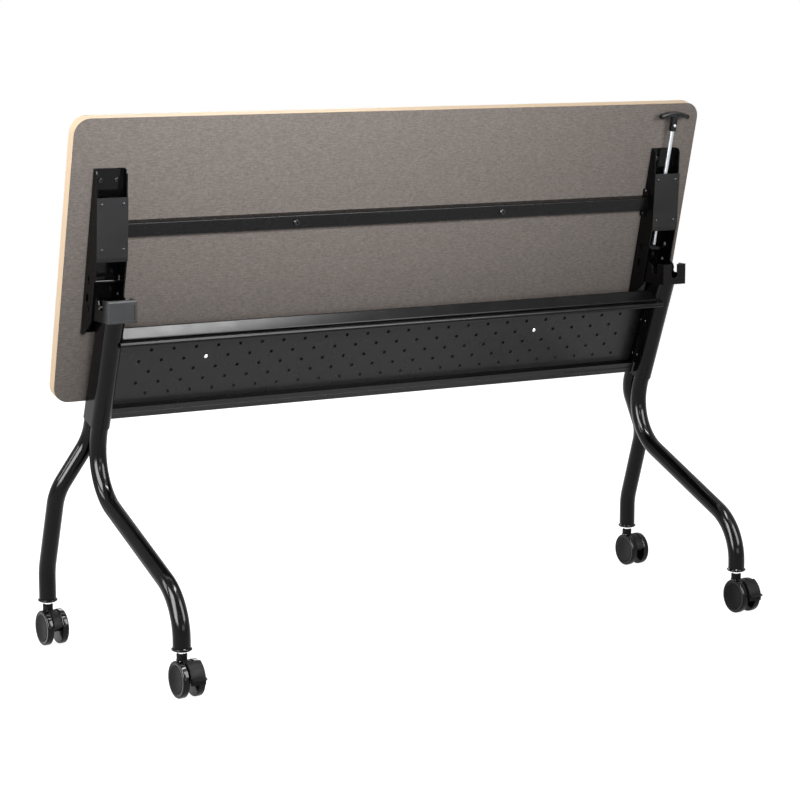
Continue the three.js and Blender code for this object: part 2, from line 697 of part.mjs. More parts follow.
function headBracket() {
  const half = HEAD_WIDTH / 2;
  const cheek = cheekOutline();
  const frontBack = HEAD_FRONT_Y + HEAD_SHEET;
  const notchR = HEAD_NOTCH_WIDTH / 2;
  const notch = new THREE.Shape();
  notch.absarc(0, HEAD_NOTCH_Z + notchR, notchR, 2 * QUARTER, 4 * QUARTER);
  notch.lineTo(notchR, HEAD_FRONT_TOP_Z + CUT_OVERRUN);
  notch.lineTo(-notchR, HEAD_FRONT_TOP_Z + CUT_OVERRUN);
  return prismX(cheek, -half, HEAD_SHEET - half)
    .add(prismX(cheek, half - HEAD_SHEET, half))
    .add(box(-half, half, HEAD_FRONT_Y, headBackY(), HEAD_FLOOR_Z, HEAD_FLOOR_Z + HEAD_SHEET))
    .add(box(-half, half, HEAD_FRONT_Y, frontBack, HEAD_FLOOR_Z, HEAD_FRONT_TOP_Z))
    .subtract(prismY(notch, HEAD_FRONT_Y - CUT_OVERRUN, frontBack + CUT_OVERRUN))
    .subtract(cylinderX(HINGE_PIN_R + SEAT_GAP, -HEAD_WIDTH, HEAD_WIDTH, HINGE_Y, HINGE_Z));
}

function headCap() {
  const back = HEAD_FRONT_Y - SEAT_GAP;
  const front = back - CAP_THICKNESS;
  const top = HEAD_FRONT_TOP_Z + SEAT_GAP;
  const side = new THREE.Shape();
  side.moveTo(back, HEAD_FLOOR_Z);
  side.lineTo(back, top);
  side.absarc(front + CAP_EDGE_R, top - CAP_EDGE_R, CAP_EDGE_R, QUARTER, 2 * QUARTER);
  side.absarc(front + CAP_FOOT_R, HEAD_FLOOR_Z + CAP_FOOT_R, CAP_FOOT_R, 2 * QUARTER, 3 * QUARTER);
  const face = top - HEAD_FLOOR_Z - CAP_EDGE_R;
  const width = HEAD_WIDTH - 2 * CAP_RECESS_MARGIN;
  const height = face - 2 * CAP_RECESS_MARGIN;
  const recess = roundedRect(width, height, CAP_RECESS_R, 0, HEAD_FLOOR_Z + face / 2);
  return prismX(side, -HEAD_WIDTH / 2, HEAD_WIDTH / 2)
    .subtract(prismY(recess, front - CUT_OVERRUN, front + CAP_RECESS_DEPTH));
}

// Posts, centred on x = 0, along the lean

function stadium(radius) {
  const shape = new THREE.Shape();
  shape.absarc(0, LEG_SPREAD, radius, 0, 2 * QUARTER);
  shape.absarc(0, -LEG_SPREAD, radius, 2 * QUARTER, 4 * QUARTER);
  return shape;
}

function post() {
  const outline = stadium(POST_R);
  outline.holes.push(stadium(POST_R - POST_WALL));
  const rise = HEAD_FLOOR_Z - SEAT_GAP - POST_Z;
  const reach = 2 * POST_R + LEG_SPREAD;
  const above = new THREE.BoxGeometry(4 * reach, 4 * reach, 2 * reach).translate(0, 0, reach + rise);
  return prismZ(outline, POST_BOTTOM, reach, 2 * ARC_STEPS).subtract(toSolid(above.rotateX(-POST_LEAN)));
}

// A point of the lean, in the frame's own depths and heights.
function onLean(x, q, s) {
  const y = POST_Y + q * Math.cos(POST_LEAN) - s * Math.sin(POST_LEAN);
  const z = POST_Z + q * Math.sin(POST_LEAN) + s * Math.cos(POST_LEAN);
  return new THREE.Vector3(x, y, z);
}

// The bore in a leg's end, for the ferrule's shank.
function legBore(x, y) {
  const radius = LEG_R - LEG_WALL;
  const [low, high] = [LEG_END_Z - CUT_OVERRUN, FERRULE_TOP_Z + FERRULE_ROOM];
  return turned([[0, low], [radius, low], [radius, high], [0, high]]).translate(x, y, 0);
}

function frontLeg() {
  const corners = [
    onLean(SIDE_X, -LEG_SPREAD, POST_BOTTOM + LEG_INSERT),
    onLean(SIDE_X, -LEG_SPREAD, POST_BOTTOM - LEG_EXIT),
    new THREE.Vector3(SIDE_X, FRONT_KNEE_Y, FRONT_KNEE_Z),
    new THREE.Vector3(FRONT_STEM_X, -STEM_Y, FRONT_ANKLE_Z),
    new THREE.Vector3(FRONT_STEM_X, -STEM_Y, LEG_END_Z),
  ];
  const line = bentLine(corners, LEG_BEND_R, LEG_BEND_STEPS);
  return tube(line, LEG_R, TUBE_SIDES).subtract(legBore(FRONT_STEM_X, -STEM_Y));
}

function rearLeg() {
  const corners = [
    onLean(SIDE_X, LEG_SPREAD, POST_BOTTOM + LEG_INSERT),
    onLean(SIDE_X, LEG_SPREAD, REAR_HIP),
    new THREE.Vector3(SIDE_X + REAR_KNEE_SPREAD, REAR_KNEE_Y, REAR_KNEE_Z),
    new THREE.Vector3(REAR_STEM_X, STEM_Y, REAR_ANKLE_Z),
    new THREE.Vector3(REAR_STEM_X, STEM_Y, LEG_END_Z),
  ];
  const line = bentLine(corners, LEG_BEND_R, LEG_BEND_STEPS);
  return tube(line, LEG_R, TUBE_SIDES).subtract(legBore(REAR_STEM_X, STEM_Y));
}

function ferrule() {
  const [low, flange] = [FERRULE_BOTTOM_Z, FERRULE_BOTTOM_Z + FERRULE_FLANGE];
  const bore = STEM_R + SEAT_GAP;
  const shank = LEG_R - LEG_WALL - SEAT_GAP;
  return turned([
    [bore, low],
    [FERRULE_R - FERRULE_CHAMFER, low],
    [FERRULE_R, low + FERRULE_CHAMFER],
    [FERRULE_R, flange - FERRULE_CHAMFER],
    [FERRULE_R - FERRULE_CHAMFER, flange],
    [shank, flange],
    [shank, FERRULE_TOP_Z],
    [bore, FERRULE_TOP_Z],
    [bore, low],
  ]);
}

// Casters, with the stem on the Z axis and the wheels behind it towards -Y

function casterStem() {
  const collarTop = FERRULE_BOTTOM_Z - SEAT_GAP;
  const stemTop = FERRULE_TOP_Z - STEM_TOP_ROOM;
  return turned([
    [0, STEM_BOTTOM_Z],
    [STEM_R, STEM_BOTTOM_Z],
    [STEM_R, NECK_TOP_Z + SEAT_GAP],
    [STEM_COLLAR_R, NECK_TOP_Z + SEAT_GAP],
    [STEM_COLLAR_R, collarTop],
    [STEM_R, collarTop],
    [STEM_R, stemTop],
    [0, stemTop],
  ]);
}

// The hood's side outline about the axle.
function hoodOutline() {
  const neckFront = CASTER_TRAIL - NECK_R;
  const shape = new THREE.Shape();
  shape.absarc(0, 0, HOOD_R, HOOD_FRONT, Math.acos(neckFront / HOOD_R), true);
  shape.lineTo(HOOD_BACK_Y, Math.sqrt(HOOD_R ** 2 - neckFront ** 2));
  shape.lineTo(HOOD_BACK_Y, HOOD_BACK_LOW);
  shape.absarc(0, 0, HOOD_BOSS_R, -QUARTER / 2, -1.5 * QUARTER, true);
  return shape;
}

function casterHood() {
  const band = prismX(hoodOutline(), -HOOD_HALF, HOOD_HALF, 2 * ARC_STEPS);
  const neckLow = WHEEL_R + HOOD_BACK_LOW;
  const neck = turned([
    [0, neckLow],
    [NECK_R - NECK_CHAMFER, neckLow],
    [NECK_R, NECK_TOP_Z - NECK_CHAMFER],
    [NECK_R - NECK_CHAMFER, NECK_TOP_Z],
    [0, NECK_TOP_Z],
  ]);
  const wheelRoom = cornerRadius(cornerRadius(WHEEL_R, WHEEL_SIDES) + WHEEL_GAP, WHEEL_SIDES);
  const room = [-CASTER_TRAIL, WHEEL_R, WHEEL_SIDES];
  const bore = turned([
    [0, STEM_BOTTOM_Z - SEAT_GAP],
    [STEM_R + TURN_GAP, STEM_BOTTOM_Z - SEAT_GAP],
    [STEM_R + TURN_GAP, NECK_TOP_Z + CUT_OVERRUN],
    [0, NECK_TOP_Z + CUT_OVERRUN],
  ]);
  return neck
    .subtract(cylinderX(wheelRoom, HOOD_HALF, NECK_R + WHEEL_GAP, ...room))
    .subtract(cylinderX(wheelRoom, -NECK_R - WHEEL_GAP, -HOOD_HALF, ...room))
    .add(band.translate(0, -CASTER_TRAIL, WHEEL_R))
    .subtract(bore)
    .subtract(cylinderX(AXLE_R + SEAT_GAP, -HOOD_WIDTH, HOOD_WIDTH, -CASTER_TRAIL, WHEEL_R));
}

function casterAxle() {
  const end = WHEEL_INNER + AXLE_GRIP;
  return cylinderX(AXLE_R, -end, end, 0, 0);
}

// A wheel about the X axis, its inner face at x = 0, with a flat of its tread straight down.
function wheel() {
  const bore = AXLE_R + TURN_GAP;
  const profile = [
    [0, WHEEL_WIDTH - WHEEL_DISC_RECESS],
    [WHEEL_DISC_R, WHEEL_WIDTH - WHEEL_DISC_RECESS],
    [WHEEL_DISC_R + WHEEL_RIM, WHEEL_WIDTH],
    [WHEEL_R - WHEEL_SHOULDER, WHEEL_WIDTH],
    [WHEEL_R, WHEEL_WIDTH - WHEEL_SHOULDER],
    [WHEEL_R, WHEEL_SHOULDER],
    [WHEEL_R - WHEEL_SHOULDER, 0],
    [bore, 0],
    [bore, AXLE_GRIP + SEAT_GAP],
    [0, AXLE_GRIP + SEAT_GAP],
  ].map(([radius, along]) => new THREE.Vector2(cornerRadius(radius, WHEEL_SIDES), along));
  const phase = (2 * QUARTER) / WHEEL_SIDES;
  const geometry = new THREE.LatheGeometry(profile.reverse(), WHEEL_SIDES, phase);
  return toSolid(geometry.rotateZ(-QUARTER));
}

// A curved plate that rides on the hood and reaches over one wheel, with a toe to step on.
function brakePedal() {
  const wheelTop = cornerRadius(WHEEL_R, WHEEL_SIDES) + SEAT_GAP;
  const outer = wheelTop + PEDAL_SHEET;
  const band = (inner, outside) => {
    const shape = new THREE.Shape();
    shape.absarc(0, 0, outside, PEDAL_FROM, PEDAL_TO);
    shape.absarc(0, 0, inner, PEDAL_TO, PEDAL_FROM, true);
    return shape;
  };
  const toe = new THREE.Shape();
  toe.absarc(0, 0, wheelTop, PEDAL_TIP_ANGLE - PEDAL_TOE / 2, PEDAL_TIP_ANGLE + PEDAL_TOE / 2);
  const tip = new THREE.Vector2(PEDAL_TIP_REACH, 0).rotateAround(new THREE.Vector2(), PEDAL_TIP_ANGLE);
  toe.lineTo(tip.x, tip.y);
  const right = HOOD_HALF + PEDAL_OVERLAP;
  return prismX(band(HOOD_R + SEAT_GAP, outer), -HOOD_HALF, HOOD_HALF)
    .add(prismX(band(wheelTop, outer), -HOOD_HALF, right))
    .add(prismX(toe, -HOOD_HALF, right));
}

// Rail, panel and end plates: x along the table, y across the lean, z along the lean

function upperRail() {
  const flangeQ = PANEL_Q - SEAT_GAP - RAIL_SHEET / 2;
  const section = sheetSection(
    [
      [flangeQ, RAIL_FLANGE_BOTTOM],
      [flangeQ, RAIL_SHOULDER],
      [RAIL_RIDGE_Q, RAIL_RIDGE_S],
      [RAIL_VALLEY_Q, RAIL_VALLEY_S],
      [RAIL_VALLEY_Q, RAIL_BEAD_S],
      [RAIL_BEAD_Q, RAIL_BEAD_S],
    ],
    RAIL_SHEET, RAIL_BEND_R);
  const end = POST_INNER_X - SEAT_GAP;
  const beadEnd = SIDE_X - RAIL_BEAD_STOP;
  const bead = circle(RAIL_BEAD_R, RAIL_BEAD_Q, RAIL_BEAD_S);
  const room = prismZ(stadium(POST_R + SEAT_GAP), RAIL_FLANGE_BOTTOM, 0, 2 * ARC_STEPS);
  return prismX(bead, -beadEnd, beadEnd, ARC_STEPS + 1)
    .subtract(room.translate(SIDE_X, 0, 0))
    .subtract(room.translate(-SIDE_X, 0, 0))
    .add(prismX(section, -end, end));
}

function perforatedSheet() {
  const sheet = polygon([
    [-PANEL_END_X, PANEL_LEDGE],
    [PANEL_END_X, PANEL_LEDGE],
    [PANEL_END_X, PANEL_TOP],
    [-PANEL_END_X, PANEL_TOP],
  ]);
  for (let row = 0; row < HOLE_ROWS; row++) {
    const stagger = (row % 2 ? -HOLE_PITCH : HOLE_PITCH) / 4;
    const s = HOLE_FIRST_ROW - row * HOLE_ROW_PITCH;
    for (let column = 0; column < HOLE_COLUMNS; column++) {
      const x = (column - (HOLE_COLUMNS - 1) / 2) * HOLE_PITCH + stagger;
      sheet.holes.push(circle(HOLE_R, x, s));
    }
  }
  return prismY(sheet, PANEL_Q, PANEL_Q + PANEL_SHEET);
}

function modestyPanel() {
  const middle = PANEL_Q + PANEL_SHEET / 2;
  const ledgeQ = middle - PANEL_LEDGE_DEPTH;
  const apron = PANEL_LEDGE - PANEL_APRON;
  const foot = sheetSection(
    [
      [middle, PANEL_LEDGE + PANEL_APRON],
      [middle, PANEL_LEDGE],
      [ledgeQ, PANEL_LEDGE],
      [ledgeQ, apron],
      [ledgeQ + PANEL_GROOVE, apron - PANEL_GROOVE],
      [ledgeQ, apron - 2 * PANEL_GROOVE],
      [ledgeQ, apron - 2 * PANEL_GROOVE - PANEL_LIP],
    ],
    PANEL_SHEET, PANEL_BEND_R);
  const front = PANEL_Q - PANEL_FLANGE_DEPTH;
  const flange = [front, PANEL_Q + PANEL_SHEET, PANEL_LEDGE, PANEL_FLANGE_TOP];
  return perforatedSheet()
    .add(prismX(foot, -PANEL_END_X, PANEL_END_X))
    .add(box(PANEL_END_X - PANEL_SHEET, PANEL_END_X, ...flange))
    .add(box(-PANEL_END_X, PANEL_SHEET - PANEL_END_X, ...flange));
}

function endPlate() {
  const middle = (END_PLATE_TOP + END_PLATE_BOTTOM) / 2;
  const length = END_PLATE_TOP - END_PLATE_BOTTOM;
  const plate = roundedRect(END_PLATE_WIDTH, length, END_PLATE_CORNER_R, 0, middle);
  return prismX(plate, END_PLATE_X - END_PLATE_SHEET, END_PLATE_X);
}

// Assembly

const table = new THREE.Group();
const frame = new THREE.Group();
frame.position.y = FRAME_SHIFT_Y;
table.add(frame);

const top = new THREE.Group();
top.position.set(0, HINGE_Y, HINGE_Z);
top.rotation.x = -FOLD_ANGLE;
frame.add(top);

const lean = new THREE.Group();
lean.position.set(0, POST_Y, POST_Z);
lean.rotation.x = POST_LEAN;
frame.add(lean);

function groupAt(parent, x, y = 0, z = 0) {
  const group = new THREE.Group();
  group.position.set(x, y, z);
  parent.add(group);
  return group;
}

function mirrored(parent, sign) {
  const group = new THREE.Group();
  group.scale.x = sign;
  parent.add(group);
  return group;
}

addPart(top, "backing_sheet", backingSheet(), BACKER);
addPart(top, "tabletop_core", tabletopCore(), CHIPBOARD);
addPart(top, "edge_band", edgeBand(), MAPLE);
addPart(top, "top_laminate", topLaminate(), MAPLE);
addPart(top, "cross_beam", crossBeam(), BLACK_COAT);
addPart(lean, "upper_rail", upperRail(), BLACK_COAT);
addPart(lean, "modesty_panel", modestyPanel(), BLACK_COAT);

for (const [side, sign] of [["left", -1], ["right", 1]]) {
  const underTop = groupAt(top, sign * SIDE_X);
  addPart(underTop, "pivot_bracket_" + side, pivotBracket(), BLACK_COAT);
  addPart(underTop, "cover_plate_" + side, coverPlate(), GREY_COAT);
  const onPost = groupAt(frame, sign * SIDE_X);
  addPart(onPost, "head_bracket_" + side, headBracket(), BLACK_COAT);
  addPart(groupAt(onPost, 0, HINGE_Y, HINGE_Z), "pivot_pin_" + side, hingePin(), BLACK_COAT);
  addPart(groupAt(lean, sign * SIDE_X), "post_" + side, post(), BLACK_COAT);
  const handed = mirrored(frame, sign);
  addPart(handed, "front_leg_" + side, frontLeg(), BLACK_COAT);
  addPart(handed, "rear_leg_" + side, rearLeg(), BLACK_COAT);
  addPart(mirrored(lean, sign), "end_plate_" + side, endPlate(), BLACK_COAT);
}

// The latch is on the right; a plain bar and a cap fill its places on the left.
const latch = groupAt(top, SIDE_X);
addPart(latch, "latch_bar", latchBarWithBoss(), BLACK_COAT);
addPart(latch, "release_rod", releaseRod(), ZINC);
addPart(latch, "rod_guide", rodGuide(), BLACK_PLASTIC);
addPart(latch, "return_spring", returnSpring(), ZINC);
addPart(latch, "t_handle", tHandle(), BLACK_PLASTIC);
addPart(groupAt(top, -SIDE_X), "stop_bar", latchBar(), BLACK_COAT);
addPart(groupAt(frame, -SIDE_X), "head_cap", headCap(), BLACK_PLASTIC);

const CASTERS = [
  ["front_left", -FRONT_STEM_X, -STEM_Y],
  ["front_right", FRONT_STEM_X, -STEM_Y],
  ["rear_left", -REAR_STEM_X, STEM_Y],
  ["rear_right", REAR_STEM_X, STEM_Y],
];

for (const [corner, x, y] of CASTERS) {
  const stem = groupAt(frame, x, y);
  addPart(stem, "ferrule_" + corner, ferrule(), BLACK_PLASTIC);
  addPart(stem, "caster_stem_" + corner, casterStem(), ZINC);
  addPart(stem, "caster_hood_" + corner, casterHood(), BLACK_PLASTIC);
  const axle = groupAt(stem, 0, -CASTER_TRAIL, WHEEL_R);
  addPart(axle, "caster_axle_" + corner, casterAxle(), ZINC);
  const outward = addPart(axle, "wheel_a_" + corner, wheel(), GLOSS_NYLON);
  outward.position.x = WHEEL_INNER;
  const inward = addPart(axle, "wheel_b_" + corner, wheel(), GLOSS_NYLON);
  inward.rotation.z = 2 * QUARTER;
  inward.position.x = -WHEEL_INNER;
  if (corner.startsWith("front")) addPart(axle, "brake_pedal_" + corner, brakePedal(), BLACK_PLASTIC);
}

export default table;
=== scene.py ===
"""Looks of the flip top training table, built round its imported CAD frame."""
import json
import math

import bmesh
import bpy
from mathutils import Matrix, Vector


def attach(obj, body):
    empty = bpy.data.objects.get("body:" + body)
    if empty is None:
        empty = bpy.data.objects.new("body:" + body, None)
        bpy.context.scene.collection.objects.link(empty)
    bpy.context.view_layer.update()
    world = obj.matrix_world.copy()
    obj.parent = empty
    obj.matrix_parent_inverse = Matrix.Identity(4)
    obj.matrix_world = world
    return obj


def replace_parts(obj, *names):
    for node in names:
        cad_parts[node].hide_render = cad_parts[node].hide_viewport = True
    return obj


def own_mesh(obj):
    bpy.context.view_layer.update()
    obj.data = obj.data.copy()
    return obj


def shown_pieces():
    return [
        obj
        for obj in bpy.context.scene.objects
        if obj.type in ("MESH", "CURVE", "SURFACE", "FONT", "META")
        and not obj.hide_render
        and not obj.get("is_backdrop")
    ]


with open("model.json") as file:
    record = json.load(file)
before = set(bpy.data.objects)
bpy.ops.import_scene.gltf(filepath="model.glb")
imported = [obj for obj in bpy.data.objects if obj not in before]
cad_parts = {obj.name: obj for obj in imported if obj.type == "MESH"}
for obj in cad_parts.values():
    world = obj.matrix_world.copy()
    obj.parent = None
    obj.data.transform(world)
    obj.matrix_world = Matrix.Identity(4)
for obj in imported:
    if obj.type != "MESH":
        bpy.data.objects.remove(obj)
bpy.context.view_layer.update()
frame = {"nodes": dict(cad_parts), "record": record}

MM = 0.001
SIDES = (("left", -1), ("right", 1))

# Sizes of the CAD model, in millimetres

SEAT_GAP = 0.3
TURN_GAP = 0.4
FRAME_SHIFT_Y = 24.0

TOP_LENGTH = 1524.0
SIDE_INSET = 81.0
SIDE_X = TOP_LENGTH / 2 - SIDE_INSET
HINGE_Y = 85.7
HINGE_Z = 723.0
HINGE_DROP = 28.4
HINGE_INSET = 214.0
FOLD = math.radians(76.2)

BRACKET_WIDTH = 68.0
BRACKET_SHEET = 2.5
BRACKET_FRONT = 285.0
BRACKET_FRONT_DEPTH = 19.0
BRACKET_FULL_FROM = 113.0
BRACKET_DEPTH = 50.0
COVER_SHEET = 2.0
BEAM_Y = -159.0
BEAM_DEPTH = 22.0
BEAM_TAB_SHEET = 3.0

LATCH_DEPTH = 22.0
ROD_R = 4.8
GUIDE_FACE_Y = -193.0
COLLAR_FACE_Y = -135.0
SPRING_WIRE_R = 0.9
SPRING_TURNS = 9
HANDLE_NECK_Y = -331.0
HANDLE_NECK_HEIGHT = 13.0

POST_Y = 49.9
POST_DROP = 26.3
POST_LEAN = math.radians(20.67)
POST_WALL = 2.0
POST_BOTTOM = -229.0

LEG_R = 18.0
LEG_WALL = 2.0
LEG_BEND_R = 115.0
LEG_INSERT = 70.0
LEG_EXIT = 18.0
LEG_SPREAD = LEG_R + SEAT_GAP / 2
POST_R = LEG_R + SEAT_GAP + POST_WALL
FRONT_KNEE_Y = 146.5
FRONT_KNEE_Z = 351.2
FRONT_ANKLE_Z = 184.9
REAR_HIP = -277.0
REAR_KNEE_SPREAD = 63.6
REAR_KNEE_Y = 196.3
REAR_KNEE_Z = 331.0
REAR_ANKLE_Z = 157.3
FERRULE_SHANK = 16.0
FERRULE_ROOM = 2.0
LEG_END_Z = 94.8

WHEELBASE = 508.8
FRONT_TOE_IN = 3.0
REAR_SPREAD = 65.0
CASTER_TRAIL = 21.0
HOOD_WIDTH = 17.2
WHEEL_GAP = 1.2
WHEEL_R = 37.0
WHEEL_WIDTH = 14.0
WHEEL_SHOULDER = 3.0
WHEEL_DISC_R = 29.0
WHEEL_DISC_RECESS = 1.0
WHEEL_RIM = 1.4
AXLE_R = 4.0
AXLE_GRIP = 9.0
FRONT_STEM_X = SIDE_X - FRONT_TOE_IN
REAR_STEM_X = SIDE_X + REAR_SPREAD
CORNERS = {
    "front_left": (-FRONT_STEM_X, -WHEELBASE / 2),
    "front_right": (FRONT_STEM_X, -WHEELBASE / 2),
    "rear_left": (-REAR_STEM_X, WHEELBASE / 2),
    "rear_right": (REAR_STEM_X, WHEELBASE / 2),
}

PANEL_Q = 12.9
PANEL_SHEET = 1.5
END_PLATE_SHEET = 2.5
HOLE_PITCH = 51.0
HOLE_ROW_PITCH = 25.0
HOLE_FIRST_ROW = -77.5

# Places on the folded top and on the leaning posts

HINGE = Vector((0, HINGE_Y + FRAME_SHIFT_Y, HINGE_Z))
POST = Vector((0, POST_Y + FRAME_SHIFT_Y, HINGE_Z - POST_DROP))
TOP_TURN = Matrix.Rotation(-FOLD, 3, "X")
LEAN_TURN = Matrix.Rotation(POST_LEAN, 3, "X")
OUT_OF_TOP = TOP_TURN @ Vector((0, 0, -1))
OUT_OF_PANEL = LEAN_TURN @ Vector((0, -1, 0))


def in_top(x, y, z):
    """A point given from the hinge, with the top laid flat."""
    return HINGE + TOP_TURN @ Vector((x, y, z))


def on_top(x, up, out):
    """A point of the folded top: up from its lower edge, out of its underside towards the camera."""
    return in_top(x, HINGE_INSET - up, HINGE_DROP - out)


def on_lean(x, across, along):
    """A point given across and along the posts' lean."""
    return POST + LEAN_TURN @ Vector((x, across, along))


def on_frame(x, y, z):
    """A point given from the middle of the wheelbase."""
    return Vector((x, y + FRAME_SHIFT_Y, z))


# Materials, with scales per metre and bump heights in metres

PEEL_HEIGHT = 0.0002
DRAWN_HEIGHT = 0.0001
THREAD_HEIGHT = 0.0002
FIBRE_HEIGHT = 0.0002
DRAWN_LINES = (2000, 2000, 40)
WEFT = (85, 430, 430)
WARP = (640, 110, 640)
THREAD_RANGE = (0.75, 1.25)
FIBRES_ACROSS = 260
BANDS_ACROSS = 22
PORES = (30, 900, 900)
# Painted shade: the near black colour given to the panel's hole walls and folds
HOLE_PAINTED_SHADE = (0.002, 0.002, 0.002)
LINEN_DARK = (0.173, 0.150, 0.137)
LINEN_LIGHT = (0.305, 0.272, 0.250)
WOOD_DARK = (0.83, 0.635, 0.44)
WOOD_LIGHT = (0.88, 0.685, 0.48)
WOOD_PORE = (0.68, 0.49, 0.31)
CHIP_DARK = (0.26, 0.17, 0.09)
CHIP_LIGHT = (0.55, 0.42, 0.27)


class Graph:
    """A material's node tree with its Principled shader."""

    def __init__(self, name):
        self.material = bpy.data.materials.new(name)
        self.material.use_nodes = True
        self.tree = self.material.node_tree
        self.shader = self.tree.nodes["Principled BSDF"]

    def put(self, socket, value):
        """Links a socket to another one, or sets it to a plain value."""
        if isinstance(value, bpy.types.NodeSocket):
            self.tree.links.new(value, socket)
        else:
            socket.default_value = value

    def feed(self, name, value):
        self.put(self.shader.inputs[name], value)

    def node(self, kind, inputs=None, **settings):
        made = self.tree.nodes.new(kind)
        for key, value in settings.items():
            setattr(made, key, value)
        for key, value in (inputs or {}).items():
            self.put(made.inputs[key], value)
        return made

    def place(self, scale=(1, 1, 1), turn=0.0):
        """Object coordinates in metres, turned about X and stretched."""
        coords = self.node("ShaderNodeTexCoord").outputs["Object"]
        turned = self.node("ShaderNodeMapping", {"Vector": coords, "Rotation": (turn, 0, 0)})
        return self.node("ShaderNodeMapping", {"Vector": turned.outputs[0], "Scale": scale}).outputs[0]

    def noise(self, where, scale=1, detail=2, roughness=0.5):
        inputs = {"Vector": where, "Scale": scale, "Detail": detail, "Roughness": roughness}
        return self.node("ShaderNodeTexNoise", inputs).outputs["Fac"]

    def ramp(self, value, low, high, from_low=0.0, from_high=1.0):
        inputs = {"Value": value, 1: from_low, 2: from_high, 3: low, 4: high}
        return self.node("ShaderNodeMapRange", inputs).outputs[0]

    def spread(self, noise, low, high):
        """Stretches a noise, most of which lies between 0.3 and 0.7, from low to high."""
        return self.ramp(noise, low, high, 0.3, 0.7)

    def mix(self, amount, first, second):
        """A colour between two others, each a socket or plain red, green and blue."""
        colours = [c if isinstance(c, bpy.types.NodeSocket) else (*c, 1) for c in (first, second)]
        inputs = {0: amount, 6: colours[0], 7: colours[1]}
        return self.node("ShaderNodeMix", inputs, data_type="RGBA").outputs[2]

    def tint(self, amount, colour, change):
        """A colour that gets darker and lighter by a share of itself."""
        return self.mix(amount, [(1 - change) * c for c in colour], [(1 + change) * c for c in colour])

    def math(self, operation, first, second=0):
        return self.node("ShaderNodeMath", {0: first, 1: second}, operation=operation).outputs[0]

    def bump(self, height, strength, distance):
        inputs = {"Height": height, "Strength": strength, "Distance": distance}
        self.feed("Normal", self.node("ShaderNodeBump", inputs).outputs[0])


def enamel_graph(name, colour, roughness, specular, peel):
    """Sprayed and baked enamel: a faint change of tone and gloss, and fine orange peel."""
    g = Graph(name)
    where = g.place()
    tone = g.spread(g.noise(where, scale=9, detail=4), 0, 1)
    g.feed("Base Color", g.tint(tone, colour, 0.2))
    g.feed("Roughness", g.spread(g.noise(where, scale=30, detail=5), *roughness))
    g.feed("Specular IOR Level", specular)
    g.bump(g.noise(where, scale=700), peel, PEEL_HEIGHT)
    return g


def enamel(name, colour, roughness, specular, peel):
    return enamel_graph(name, colour, roughness, specular, peel).material


def perforated_enamel_painted_shade(name, colour, roughness, specular, peel):
    """Enamel on the panel's sheet, with painted shade: its hole walls and folds are coloured near black,
    and they are dull.
    """
    g = enamel_graph(name, colour, roughness, specular, peel)
    normal = g.node("ShaderNodeTexCoord").outputs["Normal"]
    facing = g.node("ShaderNodeVectorMath", {0: normal, 1: OUT_OF_PANEL}, operation="DOT_PRODUCT")
    face = g.ramp(g.math("ABSOLUTE", facing.outputs["Value"]), 0, 1, 0.8, 0.97)
    even = g.shader.inputs["Base Color"].links[0].from_socket
    # Painted shade: hole walls and folds, which do not face out of the panel, take the near black colour
    g.feed("Base Color", g.mix(face, HOLE_PAINTED_SHADE, even))
    g.feed("Specular IOR Level", g.ramp(face, 0.04, specular))
    return g.material


def moulded_plastic(name, colour, roughness, specular, grain):
    """Plastic with a fine moulded grain."""
    g = Graph(name)
    where = g.place()
    tone = g.spread(g.noise(where, scale=25, detail=5), 0, 1)
    g.feed("Base Color", g.tint(tone, colour, 0.15))
    g.feed("Roughness", g.spread(g.noise(where, scale=60, detail=4), *roughness))
    g.feed("Specular IOR Level", specular)
    g.bump(g.noise(where, scale=1800, detail=3, roughness=0.6), grain, PEEL_HEIGHT)
    return g.material


def bare_steel(name, dark, light, roughness):
    """Drawn and plated steel, with fine lines along the piece."""
    g = Graph(name)
    drawn = g.noise(g.place(DRAWN_LINES))
    tone = g.spread(g.noise(g.place(), scale=40, detail=5), 0, 1)
    g.feed("Base Color", g.mix(tone, dark, light))
    g.feed("Metallic", 1.0)
    g.feed("Roughness", g.spread(drawn, *roughness))
    g.bump(drawn, 0.06, DRAWN_HEIGHT)
    return g.material


def linen_sheet(name):
    """The printed sheet under the top: crossed threads with slubs and soft cloudy tones."""
    g = Graph(name)
    across = g.noise(g.place(WEFT, FOLD), detail=4, roughness=0.65)
    along = g.noise(g.place(WARP, FOLD), detail=3, roughness=0.6)
    threads = g.math("ADD", g.math("MULTIPLY", across, 1.3), g.math("MULTIPLY", along, 0.7))
    cloud = g.noise(g.place(turn=FOLD), scale=45, detail=5, roughness=0.65)
    tone = g.math("ADD", g.ramp(threads, 0.04, 0.82, *THREAD_RANGE), g.spread(cloud, 0, 0.14))
    g.feed("Base Color", g.mix(tone, LINEN_DARK, LINEN_LIGHT))
    g.feed("Roughness", g.ramp(threads, 0.62, 0.8, *THREAD_RANGE))
    g.feed("Specular IOR Level", 0.05)
    g.bump(threads, 0.25, THREAD_HEIGHT)
    return g.material


def maple(name, grain, specular):
    """Pale maple: long fibres, faint pores and broad warm bands."""
    g = Graph(name)
    fibres = g.noise(g.place((grain, FIBRES_ACROSS, FIBRES_ACROSS), FOLD), detail=5, roughness=0.6)
    bands = g.noise(g.place((grain / 3, BANDS_ACROSS, BANDS_ACROSS), FOLD), detail=4, roughness=0.55)
    pores = g.ramp(g.noise(g.place(PORES, FOLD)), 0, 0.6, 0.62, 0.74)
    tone = g.math("ADD", g.spread(fibres, 0, 0.55), g.spread(bands, 0, 0.45))
    wood = g.mix(tone, WOOD_DARK, WOOD_LIGHT)
    g.feed("Base Color", g.mix(pores, wood, WOOD_PORE))
    g.feed("Roughness", g.spread(fibres, 0.38, 0.52))
    g.feed("Specular IOR Level", specular)
    g.bump(fibres, 0.08, FIBRE_HEIGHT)
    return g.material


